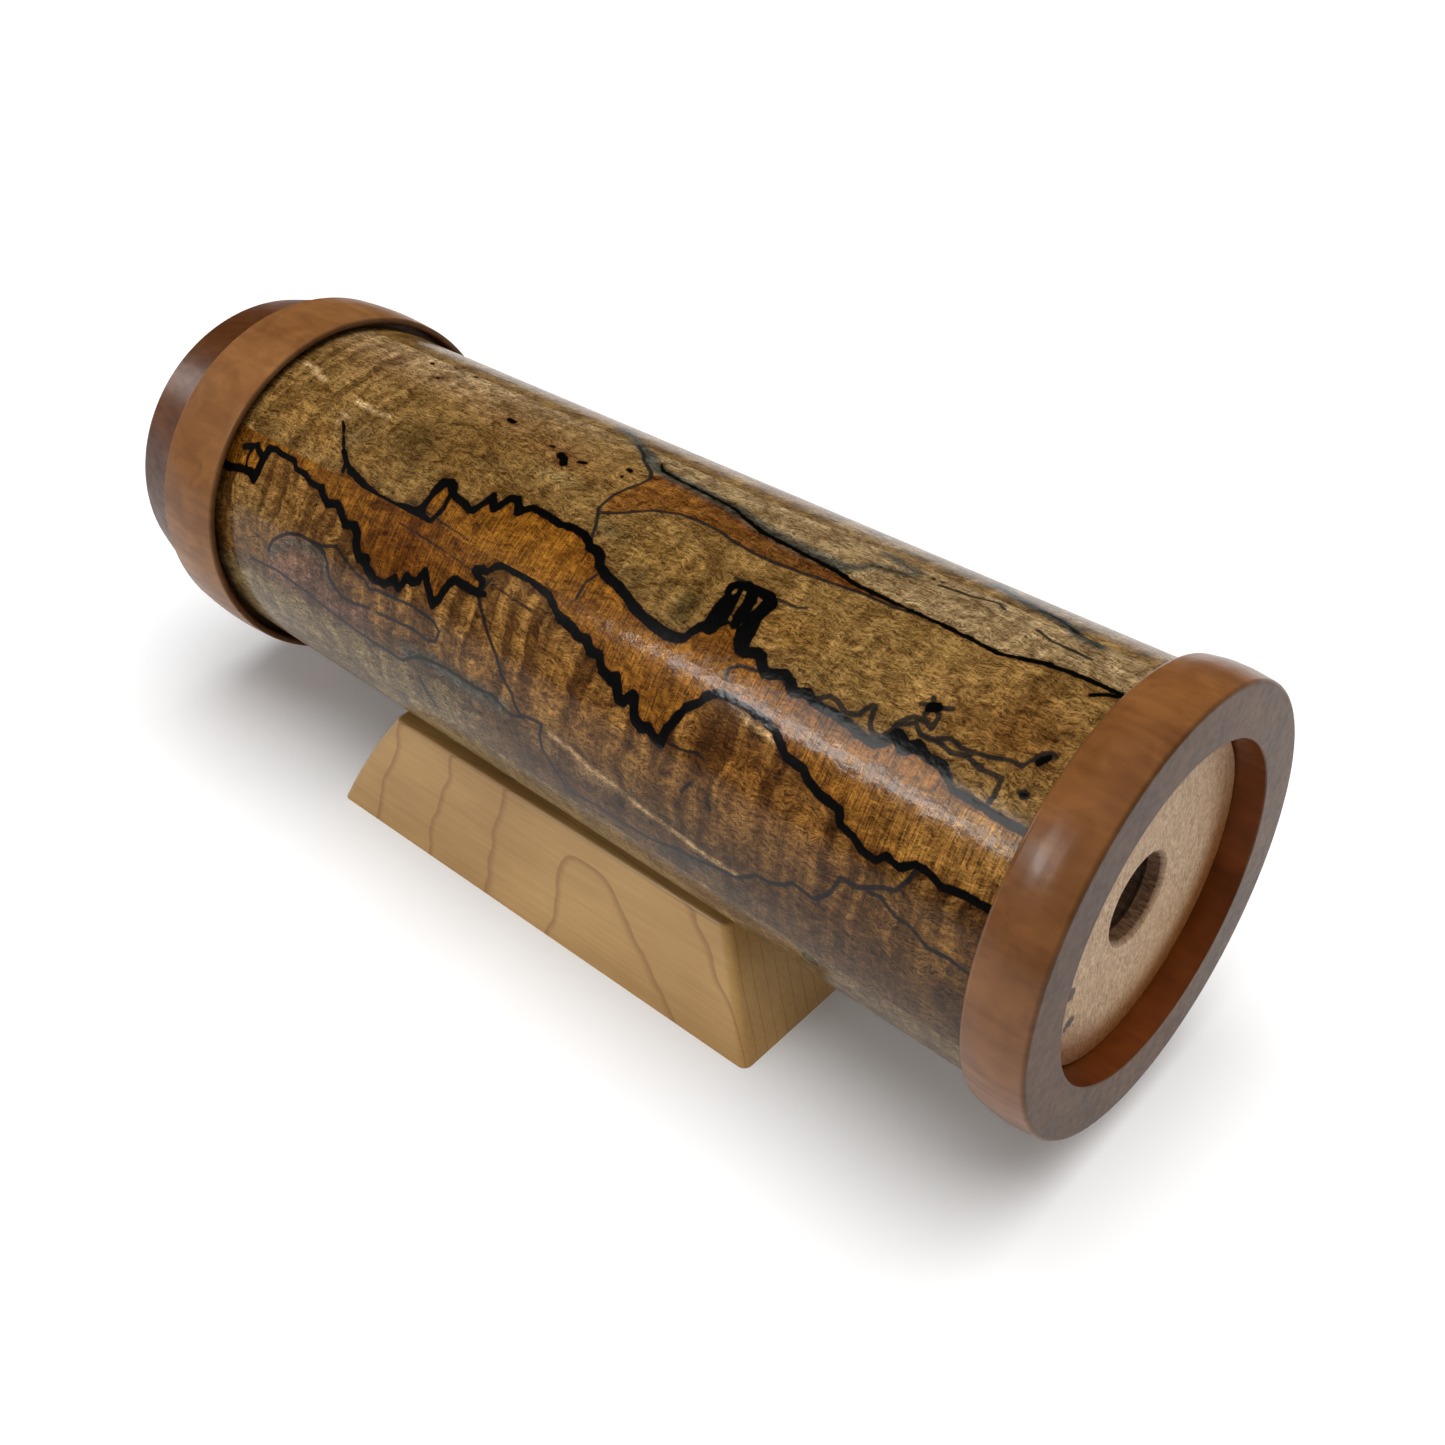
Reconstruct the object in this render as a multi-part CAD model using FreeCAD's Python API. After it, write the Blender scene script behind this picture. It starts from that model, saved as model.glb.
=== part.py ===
import FreeCAD, Part
import math
import os

# Hand-turned wooden kaleidoscope on a low cradle block.
# Units are millimetres.  The tube axis runs along X, the eyepiece faces +X, +Z is up.
# The origin is on the table, under the middle of the tube's length.
# Stations along the tube are measured from the eyepiece face towards the object cell.

os.makedirs("parts", exist_ok=True)

# overall
SCOPE_LENGTH = 216.3
AXIS_HEIGHT = 45.5

# barrel
BARREL_NEAR_RADIUS = 35.0
BARREL_FAR_RADIUS = 32.65
BARREL_START = 6.4
BARREL_SHOULDER = 190.0
BARREL_BORE = 24.0
SPIGOT_RADIUS = 29.5
SPIGOT_END = 197.3
STAVE_COUNT = 6
STAVE_FIRST_DEG = -16.0

# eyepiece
RING_RADIUS = 37.75
RING_LENGTH = 11.2
RING_ROUND = 0.7
RECESS_RADIUS = 28.2
RECESS_DEPTH = 5.1
DISC_RADIUS = 27.9
DISC_THICKNESS = 4.1
EYE_HOLE_RADIUS = 7.3
EYE_COUNTERSINK = 0.8
EYE_GLASS_RADIUS = 10.8
EYE_GLASS_THICKNESS = 1.2
SEAT_RADIUS = 28.0
GLUE_LINE = 0.05

# mirror assembly
MIRROR_INRADIUS = 8.6
MIRROR_THICKNESS = 2.0
MIRROR_START = 12.6
MIRROR_END = 193.0
MIRROR_CORNER_GAP = 0.1
BINDING_WIDTH = 12.0
BINDING_THICKNESS = 0.35
BINDING_STATIONS = (34.0, 97.0, 160.0)
SUPPORT_WIDTH = 14.0
SUPPORT_STATIONS = (15.0, 176.0)
SPACER_THICKNESS = 3.2
SPACER_HOLE = 9.2

# fixed end glass of the barrel
END_GLASS_START = 193.3
END_GLASS_THICKNESS = 2.0
SNAP_RING_WIRE = 1.0
SNAP_RING_SPAN_DEG = 320.0

# turning object cell
COLLAR_START = 187.0
COLLAR_END = 202.6
COLLAR_LIP_RADIUS = 35.5
COLLAR_RADIUS = 36.0
COLLAR_REAR_RADIUS = 35.3
COLLAR_MOUTH_BORE = 34.2
COLLAR_ROUND = 0.55
FLANGE_START = 190.8
FLANGE_END = 197.0
RUNNING_CLEARANCE = 0.08
COLLAR_CAVITY = 32.0
CAP_FRONT_RADIUS = 34.7
CAP_END_RADIUS = 30.9
CAP_SPIGOT_START = 199.6
CAP_SPIGOT_RADIUS = 31.95
CAP_SPIGOT_BORE = 26.8
CAP_LEDGE_START = 201.0
CAP_LEDGE_END = 202.5
CAP_APERTURE = 23.0
CELL_BORE = 26.0
CELL_PART_RADIUS = 25.9
INNER_GLASS_THICKNESS = 1.6
CHAMBER_LENGTH = 7.2
CHAMBER_RADIUS = 23.4
OUTER_GLASS_THICKNESS = 1.6
RETAINING_RING_THICKNESS = 1.6
RETAINING_RING_HOLE = 23.2

# bearing retention
FELT_THICKNESS = 0.6
WASHER_RADIUS = 31.2
WASHER_HOLE = 24.6
WASHER_THICKNESS = 1.5
SCREW_CIRCLE = 26.9
SCREW_COUNT = 6
SCREW_HEAD_RADIUS = 1.9
SCREW_SHANK_RADIUS = 0.9
SCREW_LENGTH = 5.0

# cradle block
CRADLE_FAR = 159.9
CRADLE_NEAR = 53.3
CRADLE_HALF_WIDTH = 33.8
CRADLE_TOP_HALF_WIDTH = 26.2
CRADLE_HEIGHT = 20.65
CRADLE_END_SLOPE = 10.8
CRADLE_END_BOW = 0.85
CRADLE_ROUND = 0.9
CRADLE_CORNER_ROUND = 1.8
TROUGH_GAP = 0.3


def station_x(station):
    """X of a station measured from the eyepiece face."""
    return SCOPE_LENGTH / 2.0 - station


def barrel_radius(station):
    """Outside radius of the tapered barrel at a station."""
    run = (station - BARREL_START) / (BARREL_SHOULDER - BARREL_START)
    return BARREL_NEAR_RADIUS + (BARREL_FAR_RADIUS - BARREL_NEAR_RADIUS) * run


def rounded_wire(corners):
    """Closed wire through (station, radius, rounding) corners in the XZ plane."""
    points = [FreeCAD.Vector(station_x(c[0]), 0, c[1]) for c in corners]
    count = len(points)
    starts = []
    ends = []
    arcs = []
    for i in range(count):
        corner = points[i]
        rounding = corners[i][2]
        back = (points[i - 1] - corner).normalize()
        ahead = (points[(i + 1) % count] - corner).normalize()
        if rounding == 0:
            starts.append(corner)
            ends.append(corner)
            arcs.append(None)
            continue
        half = back.getAngle(ahead) / 2.0
        reach = rounding / math.tan(half)
        middle = (back + ahead).normalize()
        centre = corner + middle * (rounding / math.sin(half))
        starts.append(corner + back * reach)
        ends.append(corner + ahead * reach)
        arcs.append(centre - middle * rounding)
    edges = []
    for i in range(count):
        if arcs[i] is not None:
            edges.append(Part.Arc(starts[i], arcs[i], ends[i]).toShape())
        nearest = starts[(i + 1) % count]
        if (nearest - ends[i]).Length > 1e-6:
            edges.append(Part.makeLine(ends[i], nearest))
    return Part.Wire(edges)


def turned(corners, sweep=360.0):
    """Solid turned about the tube axis from (station, radius, rounding) corners."""
    face = Part.Face(rounded_wire(corners))
    solid = face.revolve(FreeCAD.Vector(0, 0, 0), FreeCAD.Vector(1, 0, 0), sweep)
    solid.translate(FreeCAD.Vector(0, 0, AXIS_HEIGHT))
    return solid


def tube(start, end, outer, inner, rounding=0):
    """Plain ring or sleeve between two stations."""
    corners = [
        (start, inner, 0),
        (start, outer, rounding),
        (end, outer, rounding),
        (end, inner, 0),
    ]
    return turned(corners)


def disc(start, end, radius, rounding=0):
    """Plain round plate between two stations."""
    return turned([(start, 0, 0), (start, radius, rounding), (end, radius, rounding), (end, 0, 0)])


def about_axis(shape, degrees):
    """Copy of a shape turned about the tube axis."""
    copy = shape.copy()
    copy.rotate(FreeCAD.Vector(0, 0, AXIS_HEIGHT), FreeCAD.Vector(1, 0, 0), degrees)
    return copy


def save(name, solids):
    """Write one node; a list of solids becomes one grouped node."""
    shape = solids[0] if len(solids) == 1 else Part.makeCompound(solids)
    shape.exportStep("parts/" + name + ".step")


# ---------------------------------------------------------------- cradle block
def cradle_block():
    """Block with sloping sides, a bowed far end, rounded edges and a tapered trough on top."""
    far_x = station_x(CRADLE_FAR)
    near_x = station_x(CRADLE_NEAR)
    low_far = FreeCAD.Vector(far_x, -CRADLE_HALF_WIDTH, 0)
    high_far = FreeCAD.Vector(far_x + CRADLE_END_SLOPE, -CRADLE_HALF_WIDTH, CRADLE_HEIGHT)
    high_near = FreeCAD.Vector(near_x - CRADLE_END_SLOPE, -CRADLE_HALF_WIDTH, CRADLE_HEIGHT)
    low_near = FreeCAD.Vector(near_x, -CRADLE_HALF_WIDTH, 0)
    bowed = (low_far + high_far) * 0.5 - FreeCAD.Vector(CRADLE_END_BOW, 0, 0)
    side_view = Part.Face(Part.Wire([
        Part.Arc(low_far, bowed, high_far).toShape(),
        Part.makeLine(high_far, high_near),
        Part.makeLine(high_near, low_near),
        Part.makeLine(low_near, low_far),
    ]))
    end_view = Part.Face(Part.makePolygon([
        FreeCAD.Vector(far_x, -CRADLE_HALF_WIDTH, 0),
        FreeCAD.Vector(far_x, CRADLE_HALF_WIDTH, 0),
        FreeCAD.Vector(far_x, CRADLE_TOP_HALF_WIDTH, CRADLE_HEIGHT),
        FreeCAD.Vector(far_x, -CRADLE_TOP_HALF_WIDTH, CRADLE_HEIGHT),
        FreeCAD.Vector(far_x, -CRADLE_HALF_WIDTH, 0),
    ]))
    block = side_view.extrude(FreeCAD.Vector(0, 2.0 * CRADLE_HALF_WIDTH, 0))
    block = block.common(end_view.extrude(FreeCAD.Vector(near_x - far_x, 0, 0)))
    block = block.Solids[0]
    corners = [e for e in block.Edges if e.BoundBox.ZMax - e.BoundBox.ZMin > CRADLE_HEIGHT / 2.0]
    block = block.makeFillet(CRADLE_CORNER_ROUND, corners)
    rim = [e for e in block.Edges if e.BoundBox.ZMin > CRADLE_HEIGHT - 0.01]
    block = block.makeFillet(CRADLE_ROUND, rim)
    trough_near = CRADLE_NEAR - 1.0
    trough_far = CRADLE_FAR + 1.0
    trough = Part.makeCone(
        barrel_radius(trough_far) + TROUGH_GAP,
        barrel_radius(trough_near) + TROUGH_GAP,
        trough_far - trough_near,
        FreeCAD.Vector(station_x(trough_far), 0, AXIS_HEIGHT),
        FreeCAD.Vector(1, 0, 0),
    )
    return block.cut(trough)


save("cradle_block", [cradle_block()])

# ---------------------------------------------------------------- barrel
disc_rear = RECESS_DEPTH + DISC_THICKNESS


def pilot_hole():
    """Hole for one retaining screw in the end of the spigot."""
    return Part.makeCylinder(
        SCREW_SHANK_RADIUS + GLUE_LINE,
        SCREW_LENGTH + 1.0,
        FreeCAD.Vector(station_x(SPIGOT_END), 0, AXIS_HEIGHT + SCREW_CIRCLE),
        FreeCAD.Vector(1, 0, 0),
    )


def barrel_stave():
    """One sixth of the glued-up tube, as it is after turning and boring."""
    corners = [
        (BARREL_START, SEAT_RADIUS, 0),
        (BARREL_START, barrel_radius(BARREL_START), 0),
        (BARREL_SHOULDER, BARREL_FAR_RADIUS, 0.4),
        (BARREL_SHOULDER, SPIGOT_RADIUS, 0),
        (SPIGOT_END, SPIGOT_RADIUS, 0),
        (SPIGOT_END, BARREL_BORE, 0),
        (disc_rear, BARREL_BORE, 0),
        (disc_rear, SEAT_RADIUS, 0),
    ]
    return turned(corners, 360.0 / STAVE_COUNT)


stave = about_axis(barrel_stave(), STAVE_FIRST_DEG).cut(pilot_hole())
for i in range(STAVE_COUNT):
    save("barrel_stave_" + str(i + 1), [about_axis(stave, 360.0 * i / STAVE_COUNT)])

# ---------------------------------------------------------------- eyepiece
ring_seat = barrel_radius(RING_LENGTH / 2.0) + GLUE_LINE
save("eyepiece_ring", [turned([
    (0.0, RECESS_RADIUS, 0.3),
    (0.0, RING_RADIUS, RING_ROUND),
    (RING_LENGTH, RING_RADIUS, RING_ROUND),
    (RING_LENGTH, ring_seat, 0),
    (BARREL_START, ring_seat, 0),
    (BARREL_START, RECESS_RADIUS, 0),
])])

glass_front = disc_rear - EYE_GLASS_THICKNESS
save("eyepiece_disc", [turned([
    (RECESS_DEPTH, EYE_HOLE_RADIUS + EYE_COUNTERSINK, 0),
    (RECESS_DEPTH, DISC_RADIUS, 0.3),
    (disc_rear, DISC_RADIUS, 0),
    (disc_rear, EYE_GLASS_RADIUS + GLUE_LINE, 0),
    (glass_front, EYE_GLASS_RADIUS + GLUE_LINE, 0),
    (glass_front, EYE_HOLE_RADIUS, 0),
    (RECESS_DEPTH + EYE_COUNTERSINK, EYE_HOLE_RADIUS, 0),
])])

save("eye_window", [disc(glass_front, disc_rear, EYE_GLASS_RADIUS)])

spacer_radius = BARREL_BORE - GLUE_LINE
save("front_spacer", [tube(disc_rear, disc_rear + SPACER_THICKNESS, spacer_radius, SPACER_HOLE)])


# ---------------------------------------------------------------- mirrors
mirror_side = 2.0 * MIRROR_INRADIUS * math.tan(math.radians(60))
mirror_width = mirror_side - 2.0 * MIRROR_CORNER_GAP


def mirror_strip(degrees):
    """One long glass strip lying against a side of the viewing triangle."""
    strip = Part.makeBox(
        MIRROR_END - MIRROR_START,
        mirror_width,
        MIRROR_THICKNESS,
        FreeCAD.Vector(
            station_x(MIRROR_END),
            -mirror_width / 2.0,
            AXIS_HEIGHT + MIRROR_INRADIUS,
        ),
    )
    return about_axis(strip, degrees)


save("mirror_left", [mirror_strip(120)])
save("mirror_right", [mirror_strip(-120)])
save("mirror_top_strip", [mirror_strip(0)])

strip_outside = MIRROR_INRADIUS + MIRROR_THICKNESS
corner_radius = math.hypot(strip_outside, mirror_width / 2.0)
corner_angle = math.atan2(mirror_width / 2.0, strip_outside)


def binding_outline(grow, station):
    """Six-cornered outline round the three strips, grown outwards."""
    corners = []
    for k in range(3):
        for side in (-1, 1):
            angle = math.radians(120.0 * k) + side * corner_angle
            reach = corner_radius + grow
            corners.append(FreeCAD.Vector(
                station_x(station),
                reach * math.sin(angle),
                AXIS_HEIGHT + reach * math.cos(angle),
            ))
    corners.append(corners[0])
    return Part.Face(Part.makePolygon(corners))


def binding_band(station):
    """One band of tape wound round the mirror strips."""
    run = FreeCAD.Vector(-BINDING_WIDTH, 0, 0)
    outer = binding_outline(2.0 * GLUE_LINE + BINDING_THICKNESS, station).extrude(run)
    inner = binding_outline(2.0 * GLUE_LINE, station).extrude(run)
    return outer.cut(inner)


save("mirror_bindings", [binding_band(station) for station in BINDING_STATIONS])

support_hole = corner_radius + GLUE_LINE
support_names = ("mirror_support_front", "mirror_support_rear")
for name, station in zip(support_names, SUPPORT_STATIONS):
    save(name, [tube(station, station + SUPPORT_WIDTH, spacer_radius, support_hole)])

# ---------------------------------------------------------------- barrel end glass
end_glass_rear = END_GLASS_START + END_GLASS_THICKNESS
save("barrel_end_glass", [disc(END_GLASS_START, end_glass_rear, spacer_radius)])


def snap_ring():
    """Open round-wire ring that holds the end glass in the bore."""
    wire_radius = SNAP_RING_WIRE / 2.0
    middle = spacer_radius - wire_radius
    section = Part.Wire(Part.makeCircle(
        wire_radius,
        FreeCAD.Vector(station_x(end_glass_rear + wire_radius + GLUE_LINE), 0, AXIS_HEIGHT + middle),
        FreeCAD.Vector(0, 1, 0),
    ))
    ring = Part.Face(section).revolve(
        FreeCAD.Vector(0, 0, AXIS_HEIGHT),
        FreeCAD.Vector(1, 0, 0),
        SNAP_RING_SPAN_DEG,
    )
    return about_axis(ring, (360.0 - SNAP_RING_SPAN_DEG) / 2.0)


save("end_glass_snap_ring", [snap_ring()])

# ---------------------------------------------------------------- bearing retention
felt_outer = BARREL_FAR_RADIUS - 0.5
felt_inner = SPIGOT_RADIUS + 0.2
save("felt_washer", [tube(BARREL_SHOULDER, BARREL_SHOULDER + FELT_THICKNESS, felt_outer, felt_inner)])

washer_rear = SPIGOT_END + WASHER_THICKNESS
head_depth = SCREW_HEAD_RADIUS - SCREW_SHANK_RADIUS


def screw(grow):
    """Countersunk wood screw; grow widens it to make its own hole."""
    rear_x = station_x(washer_rear)
    head = Part.makeCone(
        SCREW_HEAD_RADIUS + grow,
        SCREW_SHANK_RADIUS + grow,
        head_depth,
        FreeCAD.Vector(rear_x, 0, AXIS_HEIGHT + SCREW_CIRCLE),
        FreeCAD.Vector(1, 0, 0),
    )
    shank = Part.makeCylinder(
        SCREW_SHANK_RADIUS + grow,
        WASHER_THICKNESS + SCREW_LENGTH,
        FreeCAD.Vector(rear_x, 0, AXIS_HEIGHT + SCREW_CIRCLE),
        FreeCAD.Vector(1, 0, 0),
    )
    return head.fuse(shank).removeSplitter()


def around(shape):
    """The same shape at every screw position."""
    return [about_axis(shape, 360.0 * i / SCREW_COUNT) for i in range(SCREW_COUNT)]


washer = tube(SPIGOT_END, washer_rear, WASHER_RADIUS, WASHER_HOLE)
save("retaining_washer", [washer.cut(Part.makeCompound(around(screw(GLUE_LINE))))])

slot = Part.makeBox(
    0.5,
    0.6,
    3.0 * SCREW_HEAD_RADIUS,
    FreeCAD.Vector(
        station_x(washer_rear) - 0.01,
        -0.3,
        AXIS_HEIGHT + SCREW_CIRCLE - 1.5 * SCREW_HEAD_RADIUS,
    ),
)
save("retaining_screws", around(screw(0.0).cut(slot)))

# ---------------------------------------------------------------- turning object cell
collar_middle = (COLLAR_START + COLLAR_END) / 2.0
flange_bore = SPIGOT_RADIUS + RUNNING_CLEARANCE
save("cell_collar", [turned([
    (COLLAR_START, COLLAR_MOUTH_BORE, COLLAR_ROUND),
    (COLLAR_START, COLLAR_LIP_RADIUS, COLLAR_ROUND),
    (collar_middle, COLLAR_RADIUS, 60.0),
    (COLLAR_END, COLLAR_REAR_RADIUS, 0.4),
    (COLLAR_END, COLLAR_CAVITY, 0),
    (FLANGE_END, COLLAR_CAVITY, 0),
    (FLANGE_END, flange_bore, 0),
    (FLANGE_START, flange_bore, 0),
    (FLANGE_START, COLLAR_MOUTH_BORE, 0),
])])

save("cell_end_cap", [turned([
    (CAP_SPIGOT_START, CAP_SPIGOT_BORE, 0),
    (CAP_SPIGOT_START, CAP_SPIGOT_RADIUS, 0.3),
    (COLLAR_END, CAP_SPIGOT_RADIUS, 0),
    (COLLAR_END, CAP_FRONT_RADIUS, 0.5),
    (SCOPE_LENGTH, CAP_END_RADIUS, 0.8),
    (SCOPE_LENGTH, CELL_BORE, 0.4),
    (CAP_LEDGE_END, CELL_BORE, 0),
    (CAP_LEDGE_END, CAP_APERTURE, 0),
    (CAP_LEDGE_START, CAP_APERTURE, 0),
    (CAP_LEDGE_START, CAP_SPIGOT_BORE, 0),
])])

chamber_start = CAP_LEDGE_END + INNER_GLASS_THICKNESS
chamber_end = chamber_start + CHAMBER_LENGTH
outer_glass_end = chamber_end + OUTER_GLASS_THICKNESS
ring_end = outer_glass_end + RETAINING_RING_THICKNESS
save("cell_inner_glass", [disc(CAP_LEDGE_END, chamber_start, CELL_PART_RADIUS)])
save("cell_spacer_ring", [tube(chamber_start, chamber_end, CELL_PART_RADIUS, CHAMBER_RADIUS)])
save("cell_frosted_glass", [disc(chamber_end, outer_glass_end, CELL_PART_RADIUS)])
save("cell_retaining_ring", [
    tube(outer_glass_end, ring_end, CELL_PART_RADIUS, RETAINING_RING_HOLE, 0.3),
])

# ---------------------------------------------------------------- loose glass in the cell
chamber_middle = (chamber_start + chamber_end) / 2.0


def chamber_point(degrees, radius):
    """Point in the middle of the chamber; zero degrees is straight down."""
    angle = math.radians(degrees)
    return FreeCAD.Vector(
        station_x(chamber_middle),
        radius * math.sin(angle),
        AXIS_HEIGHT - radius * math.cos(angle),
    )


BEAD_RADII = (2.1, 1.7, 2.4, 1.8, 2.2, 1.6, 2.0)
BEAD_PITCH_DEG = 12.0
beads = []
for i, radius in enumerate(BEAD_RADII):
    place = BEAD_PITCH_DEG * (i - (len(BEAD_RADII) - 1) / 2.0)
    seat = CHAMBER_RADIUS - radius - 0.2
    beads.append(Part.makeSphere(radius, chamber_point(place, seat)))
save("glass_beads", beads)

ROD_RADIUS = 1.1
ROD_LENGTH = 9.0
ROD_COUNT = 5
ROD_PITCH_DEG = 14.0
ROD_LAYER_PITCH = 2.4
rods = []
for i in range(ROD_COUNT):
    place = ROD_PITCH_DEG * (i - (ROD_COUNT - 1) / 2.0)
    run = FreeCAD.Vector(0, math.cos(math.radians(place)), math.sin(math.radians(place)))
    start = chamber_point(place, CHAMBER_RADIUS - 7.2) - run * (ROD_LENGTH / 2.0)
    start.x += ROD_LAYER_PITCH * (i % 3 - 1)
    rods.append(Part.makeCylinder(ROD_RADIUS, ROD_LENGTH, start, run))
save("glass_rods", rods)

SHARD_COUNT = 5
SHARD_PITCH_DEG = 22.0
SHARD_REACH = 2.0
SHARD_THICKNESS = 2.0
shards = []
for i in range(SHARD_COUNT):
    place = SHARD_PITCH_DEG * (i - (SHARD_COUNT - 1) / 2.0)
    centre = chamber_point(place, CHAMBER_RADIUS - 10.8)
    centre.x -= SHARD_THICKNESS / 2.0
    sides = 3 + i % 3
    rim = []
    for k in range(sides):
        angle = 2.0 * math.pi * (k + 0.3 * i) / sides
        reach = SHARD_REACH * (0.85 + 0.15 * math.cos(2.4 * k + i))
        rim.append(centre + FreeCAD.Vector(0, reach * math.cos(angle), reach * math.sin(angle)))
    rim.append(rim[0])
    shards.append(Part.Face(Part.makePolygon(rim)).extrude(FreeCAD.Vector(SHARD_THICKNESS, 0, 0)))
save("glass_shards", shards)
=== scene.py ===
import math

import bpy
import numpy as np
from mathutils import Matrix, Vector


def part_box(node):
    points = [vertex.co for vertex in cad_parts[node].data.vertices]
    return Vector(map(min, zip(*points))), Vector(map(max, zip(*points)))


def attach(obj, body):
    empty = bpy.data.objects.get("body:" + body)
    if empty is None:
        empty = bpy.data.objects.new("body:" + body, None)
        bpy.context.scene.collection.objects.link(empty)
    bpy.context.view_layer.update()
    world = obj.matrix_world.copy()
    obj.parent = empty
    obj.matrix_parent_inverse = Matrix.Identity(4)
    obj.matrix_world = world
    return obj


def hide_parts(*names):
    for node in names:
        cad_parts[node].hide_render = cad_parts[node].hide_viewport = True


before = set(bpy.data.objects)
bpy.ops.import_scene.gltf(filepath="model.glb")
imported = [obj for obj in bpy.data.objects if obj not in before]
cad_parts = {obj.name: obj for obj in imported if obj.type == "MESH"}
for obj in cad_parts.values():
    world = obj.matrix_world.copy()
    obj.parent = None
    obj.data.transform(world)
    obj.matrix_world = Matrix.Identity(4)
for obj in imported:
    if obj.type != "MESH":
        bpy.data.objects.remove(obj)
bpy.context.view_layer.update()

# A wooden kaleidoscope lying in its cradle block.
# Lengths below are millimetres unless a name says otherwise; MM turns them into metres.
# A station is the distance along the scope from the eyepiece face.
# A bearing is the angle round the scope in degrees: 0 is the top, 90 is the -Y side.

MM = 0.001


# ---------------- places taken from the CAD
ring_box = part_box("eyepiece_ring")
FACE_X = ring_box[1].x / MM
AXIS_Z = (ring_box[0].z + ring_box[1].z) / 2 / MM


def span(node):
    """First station, last station and outside radius of a node turned about the scope's axis."""
    low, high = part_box(node)
    return FACE_X - high.x / MM, FACE_X - low.x / MM, (high.y - low.y) / 2 / MM


STAVES = ["barrel_stave_%d" % number for number in range(1, 7)]
stave_lows = [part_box(name)[0] for name in STAVES]
stave_highs = [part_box(name)[1] for name in STAVES]
BARREL_START = FACE_X - max(high.x for high in stave_highs) / MM
SPIGOT_END = FACE_X - min(low.x for low in stave_lows) / MM
NEAR_RADIUS = (max(high.y for high in stave_highs) - min(low.y for low in stave_lows)) / 2 / MM
FELT_INSET = 0.5
SHOULDER = span("felt_washer")[0]
FAR_RADIUS = span("felt_washer")[2] + FELT_INSET
SPIGOT_RADIUS = 29.5
GLASS_GAP = 0.05
BORE = span("barrel_end_glass")[2] + GLASS_GAP
FIRST_SEAM = -16.0
STAVE_ARC = 60.0
MEAN_RADIUS = (NEAR_RADIUS + FAR_RADIUS) / 2
MM_PER_DEGREE = math.radians(1.0) * MEAN_RADIUS


# ---------------- turned meshes
LEAST_ROUNDING = 0.05
WIDE_ROUNDING = 5.0      # from here up a rounding is a crown, and takes WIDE_STEPS points
WIDE_STEPS = 24
ARC_STEP = 0.12          # spacing of points round a smaller rounding
TURN_SEGMENTS = 288


def rounded_outline(corners):
    """Closed outline through (station, radius, rounding, pitch) corners.
    Pitch is the spacing of points along the straight that follows, or 0 for none.
    Returns stations, radii and the outward normals in the same plane."""
    places = [np.array(c[:2], float) for c in corners]
    count = len(places)
    ahead = [places[(i + 1) % count] - places[i] for i in range(count)]
    ahead = [v / np.linalg.norm(v) for v in ahead]
    area = sum(
        places[i][0] * places[(i + 1) % count][1] - places[(i + 1) % count][0] * places[i][1]
        for i in range(count)
    )
    side = 1.0 if area > 0 else -1.0
    outward = [np.array((v[1], -v[0])) * side for v in ahead]
    bends = [math.acos(max(-1.0, min(1.0, float(ahead[i - 1] @ ahead[i])))) for i in range(count)]
    roundings = [max(c[2], LEAST_ROUNDING) for c in corners]
    reaches = [rounding * math.tan(bend / 2) for rounding, bend in zip(roundings, bends)]
    points = []
    normals = []
    for i in range(count):
        into = ahead[i - 1]
        out = ahead[i]
        first = places[i] - into * reaches[i]
        last = places[i] + out * reaches[i]
        hollow = float(outward[i - 1] @ out) > 0
        centre = first + outward[i - 1] * roundings[i] * (1.0 if hollow else -1.0)
        steps = WIDE_STEPS
        if roundings[i] < WIDE_ROUNDING:
            steps = max(4, int(bends[i] * roundings[i] / ARC_STEP) + 3)
        for k in range(steps + 1):
            share = k / steps
            turned = outward[i - 1] * math.sin((1 - share) * bends[i])
            turned = turned + outward[i] * math.sin(share * bends[i])
            normal = turned / np.linalg.norm(turned)
            points.append(centre + normal * roundings[i] * (-1.0 if hollow else 1.0))
            normals.append(normal)
        pitch = corners[i][3]
        if pitch > 0:
            following = (i + 1) % count
            length = float((places[following] - last) @ out) - reaches[following]
            cells = max(1, int(length / pitch))
            for k in range(1, cells):
                points.append(last + out * (length * k / cells))
                normals.append(outward[i])
    points = np.array(points)
    normals = np.array(normals)
    return points[:, 0], points[:, 1], normals


def place(stations, radii, bearings):
    """Row-frame positions, in metres, of points given by station, radius and bearing."""
    turn = np.radians(bearings)
    return np.stack(
        ((FACE_X - stations) * MM, -radii * np.sin(turn) * MM, (AXIS_Z + radii * np.cos(turn)) * MM),
        axis=-1,
    )


def facing(normals, bearings):
    """Row-frame directions of (station, radius) normals at the given bearings."""
    turn = np.radians(bearings)
    return np.stack(
        (-normals[..., 0], -normals[..., 1] * np.sin(turn), normals[..., 1] * np.cos(turn)),
        axis=-1,
    )


def build_mesh(name, points, faces, normals):
    """Smooth mesh object at the origin with exact vertex normals."""
    mesh = bpy.data.meshes.new(name)
    mesh.from_pydata(points.tolist(), [], faces)
    mesh.polygons.foreach_set("use_smooth", [True] * len(mesh.polygons))
    probe = mesh.polygons[len(mesh.polygons) // 3]
    if Vector(normals[probe.vertices[0]]).dot(probe.normal) < 0:
        mesh.flip_normals()
    mesh.normals_split_custom_set_from_vertices(normals.tolist())
    piece = bpy.data.objects.new(name, mesh)
    bpy.context.scene.collection.objects.link(piece)
    return piece


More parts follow.
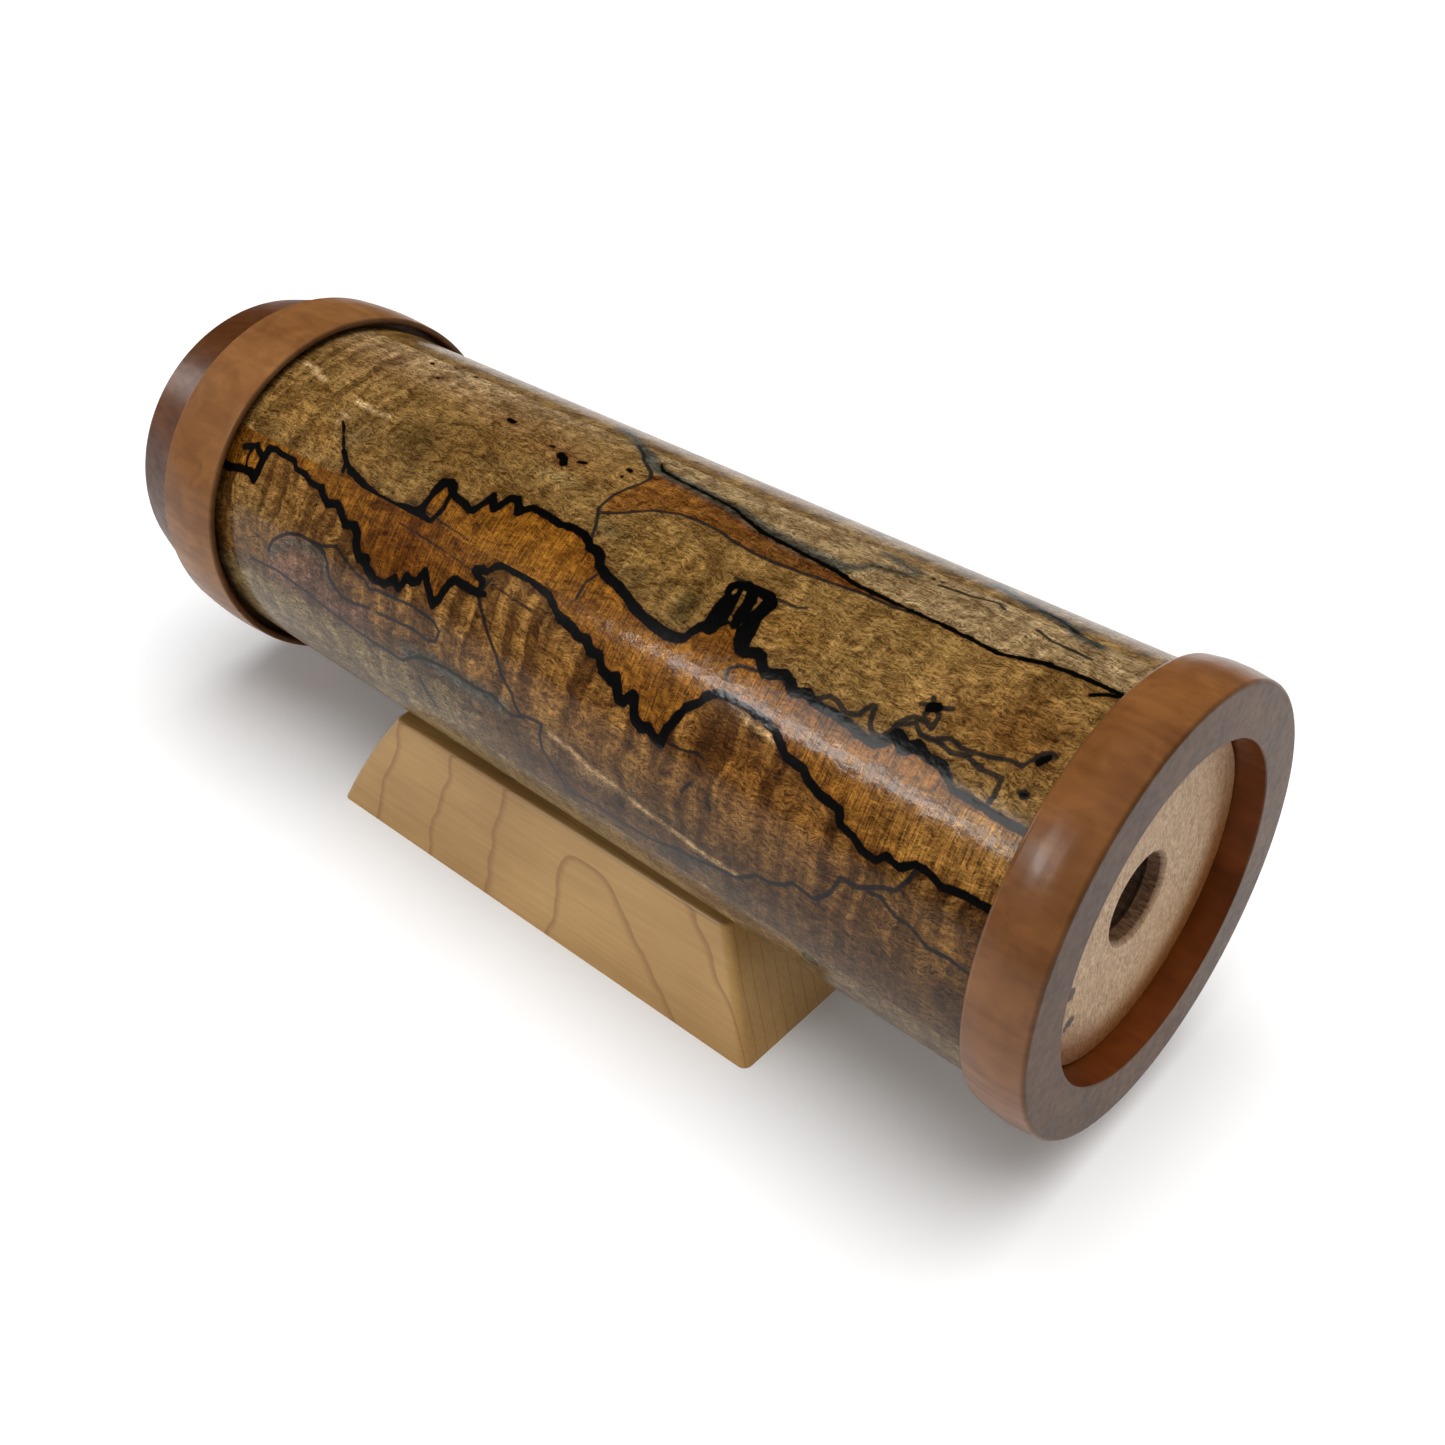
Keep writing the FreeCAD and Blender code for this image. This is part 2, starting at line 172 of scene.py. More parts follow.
def store(mesh, name, values):
    """Keep one number for each vertex under a name that a finish can read."""
    layer = mesh.attributes.new(name, "FLOAT", "POINT")
    layer.data.foreach_set("value", values.astype(np.float32))


def grid_faces(rows, columns, closed):
    """Quads of a grid numbered row by row, whose last row meets the first; closed joins its columns too."""
    r, c = np.meshgrid(np.arange(rows), np.arange(columns if closed else columns - 1), indexing="ij")
    r2 = (r + 1) % rows
    c2 = (c + 1) % columns
    quads = np.stack((r * columns + c, r * columns + c2, r2 * columns + c2, r2 * columns + c), axis=-1)
    return quads.reshape(-1, 4).tolist()


def swept(outline, bearings):
    """Stations, radii, bearings and normals of an outline set out at every bearing."""
    stations, radii, normals = outline
    columns = len(bearings)
    return (
        np.repeat(stations[:, None], columns, axis=1),
        np.repeat(radii[:, None], columns, axis=1),
        np.repeat(bearings[None, :], len(stations), axis=0),
        np.repeat(normals[:, None, :], columns, axis=1),
    )


def turned_piece(name, corners, wobble=None):
    """Ring turned about the scope's axis from an outline of corners.
    Wobble, if given, moves the radii of the finished surface a little."""
    outline = rounded_outline(corners)
    s, r, b, n = swept(outline, np.linspace(0, 360, TURN_SEGMENTS, endpoint=False))
    if wobble:
        r = r + wobble(s, r, b)
    points = place(s, r, b).reshape(-1, 3)
    faces = grid_faces(len(s), TURN_SEGMENTS, True)
    piece = build_mesh(name, points, faces, facing(n, b).reshape(-1, 3))
    store(piece.data, "bore", np.clip(-n[..., 1], 0, 1).ravel())
    store(piece.data, "face", np.clip(-n[..., 0], 0, 1).ravel())
    return piece


# ---------------- the spalting on the staves
def srgb(red, green, blue):
    """Linear colour of a display colour given in 0 to 255."""
    found = []
    for part in (red, green, blue):
        part = part / 255.0
        found.append(part / 12.92 if part <= 0.04045 else ((part + 0.055) / 1.055) ** 2.4)
    return (found[0], found[1], found[2], 1.0)


def chained(strokes):
    """Strokes that each begin at the last bend of the one before."""
    linked = strokes[:1]
    for half_width, bends in strokes[1:]:
        linked.append((half_width, linked[-1][1][-1:] + bends))
    return linked


# Strokes of the zone lines that the fungus drew, bold as a felt pen: (half width in mm, bends), where
# a bend is a (station, bearing), with a half width of its own as a third number where it swells.
UPPER_STROKES = chained([
    (0.75, [(157, 41), (155, 41.5), (152, 43), (148, 43.8, 0.5), (143, 43.8, 0.5), (141, 43.2)]),
    (0.8, [(138.6, 43), (137, 42, 1.25), (136.9, 40, 0.85), (136.7, 37, 0.7), (136.4, 34, 0.9)]),
    (0.8, [(136, 31.4, 1.15), (134.6, 29.8, 0.8), (133.4, 30.6, 0.6), (132.5, 33, 0.7)]),
    (0.75, [(132.5, 33), (131, 33.5), (129, 34), (127.5, 35), (126.5, 34.5), (125.5, 31), (125, 28)]),
    (0.75, [
        (124, 29.5), (123, 31.5), (122.3, 30), (121.5, 26.5), (120, 25.5), (119, 27), (118, 29, 1.0),
        (117, 27), (116, 26),
    ]),
    (0.7, [(113, 26), (111, 26.5), (109, 26.8), (106, 26), (103.5, 26.5), (102, 27.5), (101, 29)]),
    (0.9, [(99, 29), (98, 30), (97, 32.5), (95, 34), (92, 35), (90, 36), (87, 38), (84, 39.5)]),
    (0.95, [(80, 40.4), (77.4, 40.6), (75.5, 39.5, 0.8), (74.8, 37, 0.7), (74, 35, 0.9)]),
    (1.0, [(72.6, 34, 1.0), (70.9, 31.6, 0.5), (70.2, 30.5, 0.3), (68.1, 30.4, 0.3)]),
    (1.0, [(66.7, 33, 1.0), (65.7, 35, 1.1), (64.5, 35.5), (62.5, 34, 0.9), (61.5, 35)]),
    (0.9, [(60, 37.5), (58.5, 37.5), (56.5, 36), (55, 37), (53.5, 38.8), (51.5, 37.5)]),
    (0.75, [(50, 38.7), (46, 39), (43, 39.3), (41, 40.5), (38, 41), (36.5, 39), (35.5, 36.5)]),
    (1.0, [(33.5, 38.5, 1.2), (32, 36.5), (30, 38, 0.8), (27, 38, 0.8), (25.5, 40, 0.7)]),
    (0.6, [(25.5, 40), (24, 41.8), (20, 42), (17, 42.5), (5, 43)]),
])
LOWER_STROKES = chained([
    (0.85, [(195, 58), (190, 58), (187, 58.5), (184, 57), (181, 56.5)]),
    (0.95, [(179.5, 58), (179, 55), (179, 50), (178.5, 47)]),
    (0.6, [(177, 46), (174, 46.5), (171, 46.5), (169.5, 48.5), (167, 48.5), (165, 50), (161.5, 50)]),
    (0.85, [(160, 52), (158.5, 53.5), (156, 52), (154.5, 53.5), (152.5, 56.5), (150, 55.5)]),
    (1.05, [(148.8, 57), (148, 61), (146.5, 63.5), (144.8, 63.4, 1.3), (144.2, 65), (142, 67)]),
    (0.8, [
        (139, 67), (137.5, 65), (136.5, 63.5), (135.3, 66), (134.5, 64), (134, 61), (132.5, 62),
        (131, 60.5), (130.2, 57), (129, 59.5), (127.5, 62.5), (126.3, 65), (125, 62), (124, 57),
        (123, 55), (120, 55), (117, 55),
    ]),
    (0.65, [(117, 51.5), (118.5, 51), (119.5, 49.5, 0.9), (118, 48.5, 0.9), (117, 48.5), (116, 46)]),
    (0.65, [(114.5, 44.8), (111, 44.8), (108, 44.6), (105.5, 45.5), (103, 46), (101, 48), (99, 50)]),
    (0.9, [(96.5, 50.5), (94, 52), (92, 51.8), (90.5, 54), (88.5, 54), (87, 57), (84.5, 58)]),
    (1.0, [(84, 57), (82, 61.5), (81, 61.5), (79.5, 59), (78, 64), (76.5, 65.5), (75, 64.5)]),
    (0.85, [(73.5, 66), (72, 66.5, 1.0), (71.5, 62), (70.5, 59), (69.5, 55, 0.7), (67.5, 52, 0.7)]),
    (0.7, [(67.5, 52), (67, 50, 0.9), (65, 47.5), (60, 47.5, 0.5), (56, 48), (53.5, 49), (51.5, 51.5)]),
    (0.75, [(50, 53.5), (46.5, 54), (45, 56), (42.5, 57.5), (38.5, 58.5), (37.5, 61.5)]),
    (0.6, [
        (35, 62.5), (33, 64.5), (30.5, 65), (29, 62.5), (26.5, 63.5), (24.5, 61), (22.5, 60.8),
        (19.5, 62.5), (16, 61.5), (5, 61.5),
    ]),
])
TOP_STROKES = chained([
    (0.3, [(106, -10), (104, -7), (100, -6), (92, -5), (86, -4), (83, -2)]),
    (0.45, [(78, 0.5), (70, 1.5), (62, 2.5), (58, 4), (50, 4.5)]),
    (0.4, [(40, 4.5), (35, 5), (31, 5.5), (28, 4)]),
    (0.5, [(24, 2), (18, 1), (15, 1), (5, 1.5)]),
])
WEDGE_TOP = [(103.5, -4), (100, -4.5), (92, -3.5), (86, -2), (80, 1), (70, 2.5), (62, 3.5), (55, 4.5)]
WEDGE_FOOT = [
    (104, 18), (101.5, 16), (99, 13), (96.5, 10), (92, 7.2), (88, 6.6), (83, 7), (81, 8), (75, 9),
    (71, 9), (65, 8), (60, 7), (55, 6), (50, 6), (46, 5),
]
WEDGE_END = [
    (116, -19), (113.5, -14), (111, -11.5), (109, -8), (105, -4), (103.5, -1), (103.5, 2),
    (104.5, 7), (105.2, 11), (105.3, 17), (104, 20), (102.8, 23), (102, 26),
]
FLOOR_LINE = [
    (117, 55), (115, 59), (112, 64.5), (109, 69), (107.5, 73), (104.5, 77), (103.5, 80), (102, 82),
    (99, 81), (97, 80.8), (97.5, 85), (97, 89), (95, 93), (93, 97), (92.5, 99), (91, 100),
    (85, 98.5), (78, 99), (72, 98), (66, 95), (62, 94.5), (58, 93), (54, 92), (51.5, 89), (50, 87),
    (47, 86.5), (45, 85), (43, 82.5), (39, 83.5), (37, 80.5), (36, 78), (35, 73.5), (32, 73.5),
    (28, 70), (26, 69), (24.5, 65), (24, 62),
]
SHELF_LINE = [
    (172, 78), (171, 74), (169, 71), (166.5, 68.5), (163, 66.7), (159.5, 67), (156, 67.7), (154.5, 71),
    (153.7, 75), (150, 78.8), (146, 78.4), (142, 77),
]

STAVE_1_BOLD = UPPER_STROKES + TOP_STROKES + [
    (0.5, [(134.4, 31.2), (133, 33.5), (132.6, 38), (133.6, 43), (135.5, 43.6, 0.8)]),
    (1.3, [(72.6, 20.5, 0.9), (72.4, 25, 1.5), (72.3, 30, 1.9), (72.4, 33.5, 1.5)]),
    (0.5, [(72.2, 24.5), (73.8, 23.2), (73.9, 21, 0.6), (73, 19.6, 0.7), (71.6, 19.2, 0.9)]),
    (0.9, [(71.6, 19.4), (69.4, 18.9, 0.85), (67.2, 19.2, 1.0), (66.2, 21, 1.2)]),
    (1.0, [(70.2, 20), (69.2, 23, 1.15), (69, 28, 1.15), (69, 30.4, 0.8)]),
    (1.4, [(66.2, 21.5), (66.6, 25.5, 1.25), (66.4, 30, 1.5), (65.8, 34, 1.35)]),
    (0.35, [(166, 28), (164.5, 30), (163, 33), (161, 36.5)]),
    (0.55, [(161, 36.5), (159, 39), (157, 41)]),
    (0.5, [(159, 39), (158.5, 42)]),
    (0.8, [(33.5, 27), (32.6, 26.4)]),
    (0.55, [(15.2, 27.5), (14.5, 25.5)]),
    (0.25, [(14.9, 35.6), (14.1, 35.2)]),
    (0.35, [(15.6, 5.5), (14.2, 3.4), (12.5, 2.4)]),
    (0.6, [(137.3, 0.4), (136, 0.8)]),
    (0.8, [(121.2, 5.4), (119.8, 6.4), (118.9, 8)]),
    (0.45, [(117, 5), (115.8, 4.4)]),
    (0.3, [(124.8, 3.8), (124, 3.6)]),
    (0.4, [(108.4, -0.8), (107.6, -0.3)]),
    (0.35, [(107.9, 3), (107.6, 3.5)]),
    (0.4, [(180.3, -24), (179.6, -23.8)]),
    (0.35, [(166.2, -11), (165.8, -10.6)]),
    (0.35, [(162.2, -15), (161.8, -14.6)]),
    (0.35, [(156.3, -14.5), (155.7, -14.2)]),
    (0.35, [(160.2, -4), (159.6, -3.8)]),
    (0.3, [(50, -12), (49.7, -11.8)]),
    (0.25, [(48.4, -12), (48.2, -11.9)]),
]
STAVE_2_BOLD = LOWER_STROKES + [
    (0.55, [(117, 55), (115.5, 54.5)]),
    (0.7, [(185, 50), (183.5, 49), (182, 47.6), (181, 49), (179.6, 50)]),
    (0.5, [(182.8, 50), (182.9, 53), (182.6, 56.5)]),
    (0.35, [(112.8, 90), (112.2, 90)]),
    (0.3, [(106.2, 87.5), (105.8, 87.8)]),
    (0.3, [(108, 91.7), (107.6, 91.9)]),
    (0.35, [(78.9, 92), (78.3, 92)]),
    (0.3, [(72.2, 91.6), (71.8, 91.6)]),
    (0.3, [(60.8, 75), (60, 76.2)]),
]
STAVE_6_BOLD = [
    (0.45, [(43, 335), (37, 338), (30, 340.3), (26.5, 343), (25.4, 344.4)]),
    (0.3, [(180, 336), (179, 336.4)]),
    (0.3, [(162, 342), (161.6, 342.4)]),
]
STAVE_1_HAIR = [
    (0.3, WEDGE_END), (0.26, WEDGE_FOOT),
    (0.2, [(96.5, 35), (97.5, 38), (97.6, 43.5)]),
    (0.24, [(65, 44), (65.5, 41), (64, 39), (61, 38.3)]),
    (0.36, [
        (50, 38), (48, 35.5), (46.5, 35.8), (44.5, 37.5), (42.5, 36.5), (41.5, 33), (40.8, 33),
        (40.2, 37), (39, 38.8), (37.5, 38.5), (36.5, 36), (36.5, 34), (35, 31), (33, 30.5),
        (31.5, 31.5), (31.5, 28.5), (32.4, 26.5),
    ]),
    (0.34, [
        (36.5, 34.5), (34, 32), (32.5, 34), (29.5, 33.5), (27, 34.5), (24.5, 33.5), (22, 34.8),
        (18.5, 34.5), (18.2, 39), (18.5, 41),
    ]),
    (0.28, [
        (30, 33), (28, 31.5), (26, 32.5), (22, 31.5), (19, 30), (17, 30), (16, 27), (15.5, 25),
        (14.5, 24), (13.5, 24.5),
    ]),
    (0.2, [(15.4, 35.5), (14.6, 34.6), (13.8, 35.5), (14.6, 36.4), (15.4, 35.5)]),
    (0.36, [(35, 27.2), (33, 26.5), (30.5, 25)]),
    (0.36, [(34, 24.6), (33, 26.5), (33.6, 29)]),
    (0.28, [(48, -10), (42.5, -11.3), (38.7, -14), (37, -12)]),
    (0.26, [(30, -9), (27, -7), (20, -6.5)]),
    (0.18, [(66, 19), (64, 18.6), (62, 18.8), (60.5, 17.5)]),
    (0.2, [(74.5, 18.5), (72, 18.2), (70, 18.8)]),
    (0.12, [(140, 41), (132, 41.8), (124, 43)]),
]
STAVE_2_HAIR = [
    (0.3, FLOOR_LINE),
    (0.28, SHELF_LINE),
    (0.26, [
        (163, 67), (157, 66.5), (153, 64), (150.5, 66), (147, 68.5), (144, 69), (142.5, 71), (140.5, 70),
        (137, 69.5), (131, 68.5), (125, 69.5), (123.5, 71.5), (124, 75), (126, 76.2), (130, 75.4),
        (134, 76), (140, 77),
    ]),
    (0.26, [(30, 73), (28, 72.5), (25, 75), (22, 75.5), (19, 78), (15.5, 77.5), (9, 79)]),
    (0.28, [
        (178, 85), (170, 83.5), (160, 85), (150, 87.5), (140, 88.5), (133, 88.5), (131, 86),
        (128, 83), (121, 81.5), (113, 82), (109, 81), (106.5, 83), (104.5, 84), (102, 82.5),
    ]),
    (0.4, [(128.7, 91), (127.6, 95), (125.6, 100)]),
    (0.2, [(70, 65.5), (67, 65), (65, 64), (63.5, 64.2)]),
    (0.2, [(66, 76), (65.4, 74), (64.5, 72)]),
    (0.22, [(117, 55), (116, 52), (115.4, 49.4)]),
    (0.1, [(140, 48), (130, 48.8), (120, 50)]),
    (0.12, [(115, 51), (110, 51.6), (105, 52)]),
]
STAVE_3_HAIR = [
    (0.26, [(41.5, 106.5), (39.8, 107), (39.4, 109.5), (41, 110.4), (42, 108.4), (41.5, 106.5)]),
    (0.3, [(35.6, 104.6), (35, 105)]),
]
# Soft blue-grey stains that run beside the lines: (half width, strength, bends).
STAVE_1_SMUDGES = [
    (1.0, 0.75, [(115, -16), (112, -15), (108.7, -10), (104.4, -6.5), (96, -5.6), (85, -3.6)]),
    (1.2, 0.6, [(85, -3.6), (78, -1), (70, 0), (62, 0.5)]),
    (0.5, 0.7, [(59.7, -14.5), (56, -12.6), (52.5, -11.3), (53.7, -8), (58.7, -6), (60, -2), (61.9, 0.3)]),
    (0.9, 0.8, [(26, -16), (24.5, -15), (21.5, -14.4)]),
]
STAVE_2_SMUDGES = [
    (1.3, 0.5, [(132, 84), (125, 82.5), (116, 83.5), (107, 83)]),
    (0.8, 0.45, [(172, 79), (165, 70), (157, 69), (153, 77)]),
    (0.6, 0.5, [(60.5, 94.5), (64, 97), (70, 99.5)]),
]
STAVE_6_SMUDGES = [
    (0.9, 0.8, [(44, 334), (37, 337.5), (30, 340.6), (26.5, 343.2)]),
    (1.0, 0.6, [(124, 334), (118, 340), (114, 344)]),
]
CREAM_LINES = [
    (0.2, [(95, 82.5), (90, 83.4), (85, 85.6), (80, 86.4), (75, 88), (66, 89.6), (60, 91), (54, 91)]),
    (0.4, [(186, 14.6), (182, 15.6), (178, 17.6)]),
    (0.35, [(167, 19.6), (162, 20.4), (158, 19.8)]),
    (0.3, [(60, 50), (50, 51.4), (44, 51)]),
]
# Small tan islands left inside the bold strokes: (station, bearing, half width, half height in degrees).
ISLANDS = [(182.3, 52.2, 0.45, 2.4), (184.2, 53.4, 0.4, 1.2), (72.7, 22.4, 0.35, 0.9)]


def joined(strokes):
    """All the bends of a line's strokes, one after another."""
    return [bend[:2] for _, bends in strokes for bend in bends]


UPPER_LINE = joined(UPPER_STROKES)
LOWER_LINE = joined(LOWER_STROKES)
TOP_LINE = joined(TOP_STROKES)
AMBER_EDGE = [(200, 44), (166, 44), (159, 43)] + UPPER_LINE


FAR_AWAY = 40.0
LINE_REACH = 5.0
UNMARKED = 6.0


def line_distance(s, t, bends, half_width=0.0):
    """Distance in mm from points at station s and arc length t to the edge of a bent line."""
    nearest = np.full(s.shape, FAR_AWAY)
    for one, other in zip(bends[:-1], bends[1:]):
        t1 = one[1] * MM_PER_DEGREE
        dt = other[1] * MM_PER_DEGREE - t1
        ds = other[0] - one[0]
        near = np.abs(s - one[0] - ds / 2) < abs(ds) / 2 + LINE_REACH
        along = ((s[near] - one[0]) * ds + (t[near] - t1) * dt) / max(ds * ds + dt * dt, 1e-9)
        along = np.clip(along, 0, 1)
        first = one[2] if len(one) > 2 else half_width
        last = other[2] if len(other) > 2 else half_width
        gap = np.hypot(s[near] - one[0] - along * ds, t[near] - t1 - along * dt)
        nearest[near] = np.minimum(nearest[near], gap - first - along * (last - first))
    return nearest


def nearest_stroke(s, t, strokes):
    """Distance in mm to the edge of the nearest of several strokes, UNMARKED at most."""
    nearest = np.full(s.shape, UNMARKED)
    for half_width, bends in strokes:
        nearest = np.minimum(nearest, line_distance(s, t, bends, half_width))
    return nearest


def past_line(s, bearing, bends):
    """True where a point's bearing lies past a line, counting each time the line is crossed."""
    past = np.zeros(s.shape, bool)
    for (s1, b1), (s2, b2) in zip(bends[:-1], bends[1:]):
        low, high = min(s1, s2), max(s1, s2)
        if high - low < 1e-9:
            continue
        crossing = b1 + (b2 - b1) * (s - s1) / (s2 - s1)
        past ^= (s >= low) & (s < high) & (bearing > crossing)
    return past


def wandering_line(random, start, end, bearing, reach):
    """Jagged line that drifts round a bearing between two stations."""
    bends = []
    drift = 0.0
    station = start
    while station > end:
        drift = drift * 0.86 + random.uniform(-1, 1) * reach * 0.45
        bends.append((station, bearing + drift + random.uniform(-0.8, 0.8)))
        station -= random.uniform(1.2, 3.4)
    return bends


def blend(tint, weight, colour):
    """Tint moved towards a display colour by a weight for each point."""
    weight = np.clip(weight, 0, 1)[:, None]
    return tint * (1 - weight) + np.array(srgb(*colour)) * weight


def plain(s, colour):
    """One display colour for every point."""
    return np.tile(np.array(srgb(*colour)), (len(s), 1))


def patched(tint, s, bearing, patches):
    """Blend soft ovals of colour into the tint, each (middle, half size, colour, strength)."""
    for middle, size, colour, strength in patches:
        away = ((s - middle[0]) / size[0]) ** 2 + ((bearing - middle[1]) / size[1]) ** 2
        tint = blend(tint, strength * np.exp(-away), colour)
    return tint


def smudged(tint, s, bearing, smudges):
    """Blend blue-grey stains and the cream streaks into the tint."""
    t = bearing * MM_PER_DEGREE
    for half_width, strength, bends in smudges:
        tint = blend(tint, strength * (1 - line_distance(s, t, bends, half_width) / 1.2), STAIN)
    for half_width, bends in CREAM_LINES:
        tint = blend(tint, 0.55 * (1 - line_distance(s, t, bends, half_width) / 0.6), CREAM)
    return tint


TAN = (113, 85, 44)
GREY_TAN = (130, 107, 73)
AMBER = (112, 70, 17)
DEEP_AMBER = (88, 48, 6)
WEDGE_ORANGE = (102, 64, 24)
SMOKE = (74, 58, 34)
CURL_TAN = (103, 71, 31)
PURPLE_BROWN = (71, 47, 21)
PALE = (98, 80, 50)
STAIN = (62, 60, 50)
CREAM = (168, 138, 96)

STAVE_1_PATCHES = [
    ((148, 24), (7, 9), (62, 44, 18), 0.85), ((137, 24), (6, 5), (92, 62, 24), 0.6),
    ((140, 20), (6, 7), (96, 70, 34), 0.4),
    ((131, 19), (3.5, 4), SMOKE, 0.6), ((117, 13), (6, 3), (112, 96, 60), 0.5),
    ((128, 27), (8, 5), (96, 66, 28), 0.5), ((100, 22), (4, 3), (84, 72, 46), 0.6),
    ((90, 31), (4, 4.5), (60, 46, 22), 0.65), ((78.5, 31.5), (2.2, 6), (62, 56, 28), 0.8),
    ((77, 25), (5, 5), (88, 62, 26), 0.6), ((88, 22), (8, 6), (120, 88, 40), 0.4),
    ((21, 21), (11, 12), (88, 54, 18), 0.85), ((32, 25), (7, 6), (96, 62, 26), 0.5),
    ((36, 20), (14, 9), (140, 108, 58), 0.3), ((172, 5), (10, 9), (108, 80, 46), 0.6),
    ((120, 6), (12, 6), (110, 76, 38), 0.6), ((165, 35), (12, 6), (122, 84, 36), 0.4),
    ((161.5, 31.5), (3.5, 5), (88, 74, 50), 0.55), ((166.4, 26.6), (1.3, 2.2), (172, 146, 108), 0.8),
    ((134.4, 37), (1.2, 5), (138, 92, 60), 0.9), ((182, 30), (10, 8), (112, 80, 38), 0.4),
    ((134, 14), (8, 7), (88, 58, 22), 0.5), ((150, 13), (6, 5), (92, 68, 34), 0.5),
    ((163, 23), (5, 5), (90, 66, 32), 0.45), ((60, 25), (7, 6), (100, 66, 22), 0.6),
    ((165, -4), (34, 7), (126, 98, 66), 0.8), ((155, -15), (36, 8), (146, 122, 88), 0.85),
    ((128, 2), (14, 5), (116, 84, 50), 0.5),
    ((180, 14), (7, 7), (88, 64, 34), 0.6), ((75, 14), (9, 4), (92, 66, 30), 0.6),
    ((105, 15), (6, 6), (84, 60, 28), 0.7), ((165, 25), (7, 5), (90, 66, 32), 0.5),
    ((18, 26), (8, 6), (88, 58, 22), 0.5),
]
STAVE_2_PATCHES = [
    ((150, 66), (5, 4), (72, 50, 20), 0.6), ((18, 66), (6, 5), (68, 44, 16), 0.7),
    ((40, 76), (26, 7), (78, 52, 26), 0.6), ((182, 76), (6, 6), (76, 54, 30), 0.6),
    ((180, 66), (6, 8), (122, 94, 52), 0.5),
    ((118, 84), (14, 4), (80, 64, 48), 0.6), ((90, 66), (8, 7), (90, 56, 16), 0.7),
    ((57, 60), (13, 10), (84, 50, 14), 0.85), ((40, 66), (10, 5), (96, 60, 20), 0.6),
    ((28, 68), (6, 4), (76, 52, 18), 0.6), ((84, 88), (14, 3), (110, 86, 56), 0.5),
    ((60.3, 75.6), (2.2, 3.4), (70, 50, 26), 0.8), ((130, 96), (14, 6), (118, 104, 80), 0.6),
    ((58, 98), (9, 4), (76, 62, 44), 0.5), ((20, 52), (8, 7), (118, 82, 36), 0.5),
    ((174, 66), (12, 6), (88, 62, 30), 0.5),
]
STAVE_3_PATCHES = [((40, 112), (44, 22), (84, 63, 38), 0.6), ((40.5, 108), (1.6, 2.6), (62, 64, 44), 0.9)]


def stave_1_tint(s, bearing):
    """Colours of the stave that carries the upper bold line."""
    t = bearing * MM_PER_DEGREE
    tint = patched(plain(s, TAN), s, bearing, STAVE_1_PATCHES)
    above = ~past_line(s, bearing, [(200, -40), (112, -17)] + TOP_LINE) & (s < 112)
    tint[above] = np.array(srgb(*GREY_TAN))
    wedge = past_line(s, bearing, [(104, 18), (105.2, 11), (103.5, 2)] + WEDGE_TOP + WEDGE_FOOT[::-1])
    tint[wedge] = np.array(srgb(*WEDGE_ORANGE))
    tint = blend(tint, 0.6 * (1 - line_distance(s, t, WEDGE_TOP) / 2.2) * wedge, (92, 42, 18))
    tint = blend(tint, 0.7 * wedge * (1 - np.abs(s - 70) / 20), (66, 40, 14))
    tint = smudged(tint, s, bearing, STAVE_1_SMUDGES)
    return blend(tint, (past_line(s, bearing, AMBER_EDGE) & (s < 160)).astype(float), AMBER)


def stave_2_tint(s, bearing):
    """Colours of the stave that carries the lower bold line."""
    tint = blend(plain(s, CURL_TAN), (bearing - 76) / 12, PURPLE_BROWN)
    tint = patched(tint, s, bearing, STAVE_2_PATCHES)
    shelf = past_line(s, bearing, SHELF_LINE) * np.clip((94 - bearing) / 10, 0, 1)
    tint = blend(tint, 0.75 * shelf, (92, 64, 50))
    # Painted reflection of the pale table: the far end of the low side is blended towards PALE.
    tint = blend(tint, np.clip((s - 112) / 10, 0, 1) * np.clip((bearing - 86) / 7, 0, 1), PALE)
    tint = smudged(tint, s, bearing, STAVE_2_SMUDGES)
    amber = (~past_line(s, bearing, LOWER_LINE)).astype(float)
    tint = blend(tint, amber, AMBER)
    tint = blend(tint, amber * (1 - (s - 12) / 30), (128, 90, 40))
    return blend(tint, amber * (1 - np.abs(s - 136) / 22), DEEP_AMBER)


PLAIN_PATCHES = 12


def plain_tint(number):
    """Colour function of a stave that has no bold line, varied by its number."""
    random = np.random.RandomState(40 + number)
    shades = [TAN, GREY_TAN, PALE, CURL_TAN, AMBER, SMOKE]
    middles = [(random.uniform(10, 190), random.uniform(0, STAVE_ARC)) for _ in range(PLAIN_PATCHES)]
    sizes = [(random.uniform(8, 26), random.uniform(4, 14)) for _ in range(PLAIN_PATCHES)]
    picks = [shades[random.randint(len(shades))] for _ in range(PLAIN_PATCHES)]

    def tint_of(s, bearing):
        base = FIRST_SEAM + STAVE_ARC * (number - 1)
        spots = [
            ((middle[0], base + middle[1]), size, colour, 0.55)
            for middle, size, colour in zip(middles, sizes, picks)
        ]
        tint = patched(plain(s, PALE if number == 3 else TAN), s, bearing, spots)
        if number == 3:
            tint = patched(tint, s, bearing, STAVE_3_PATCHES)
        return smudged(tint, s, bearing, STAVE_6_SMUDGES if number == 6 else [])

    return tint_of


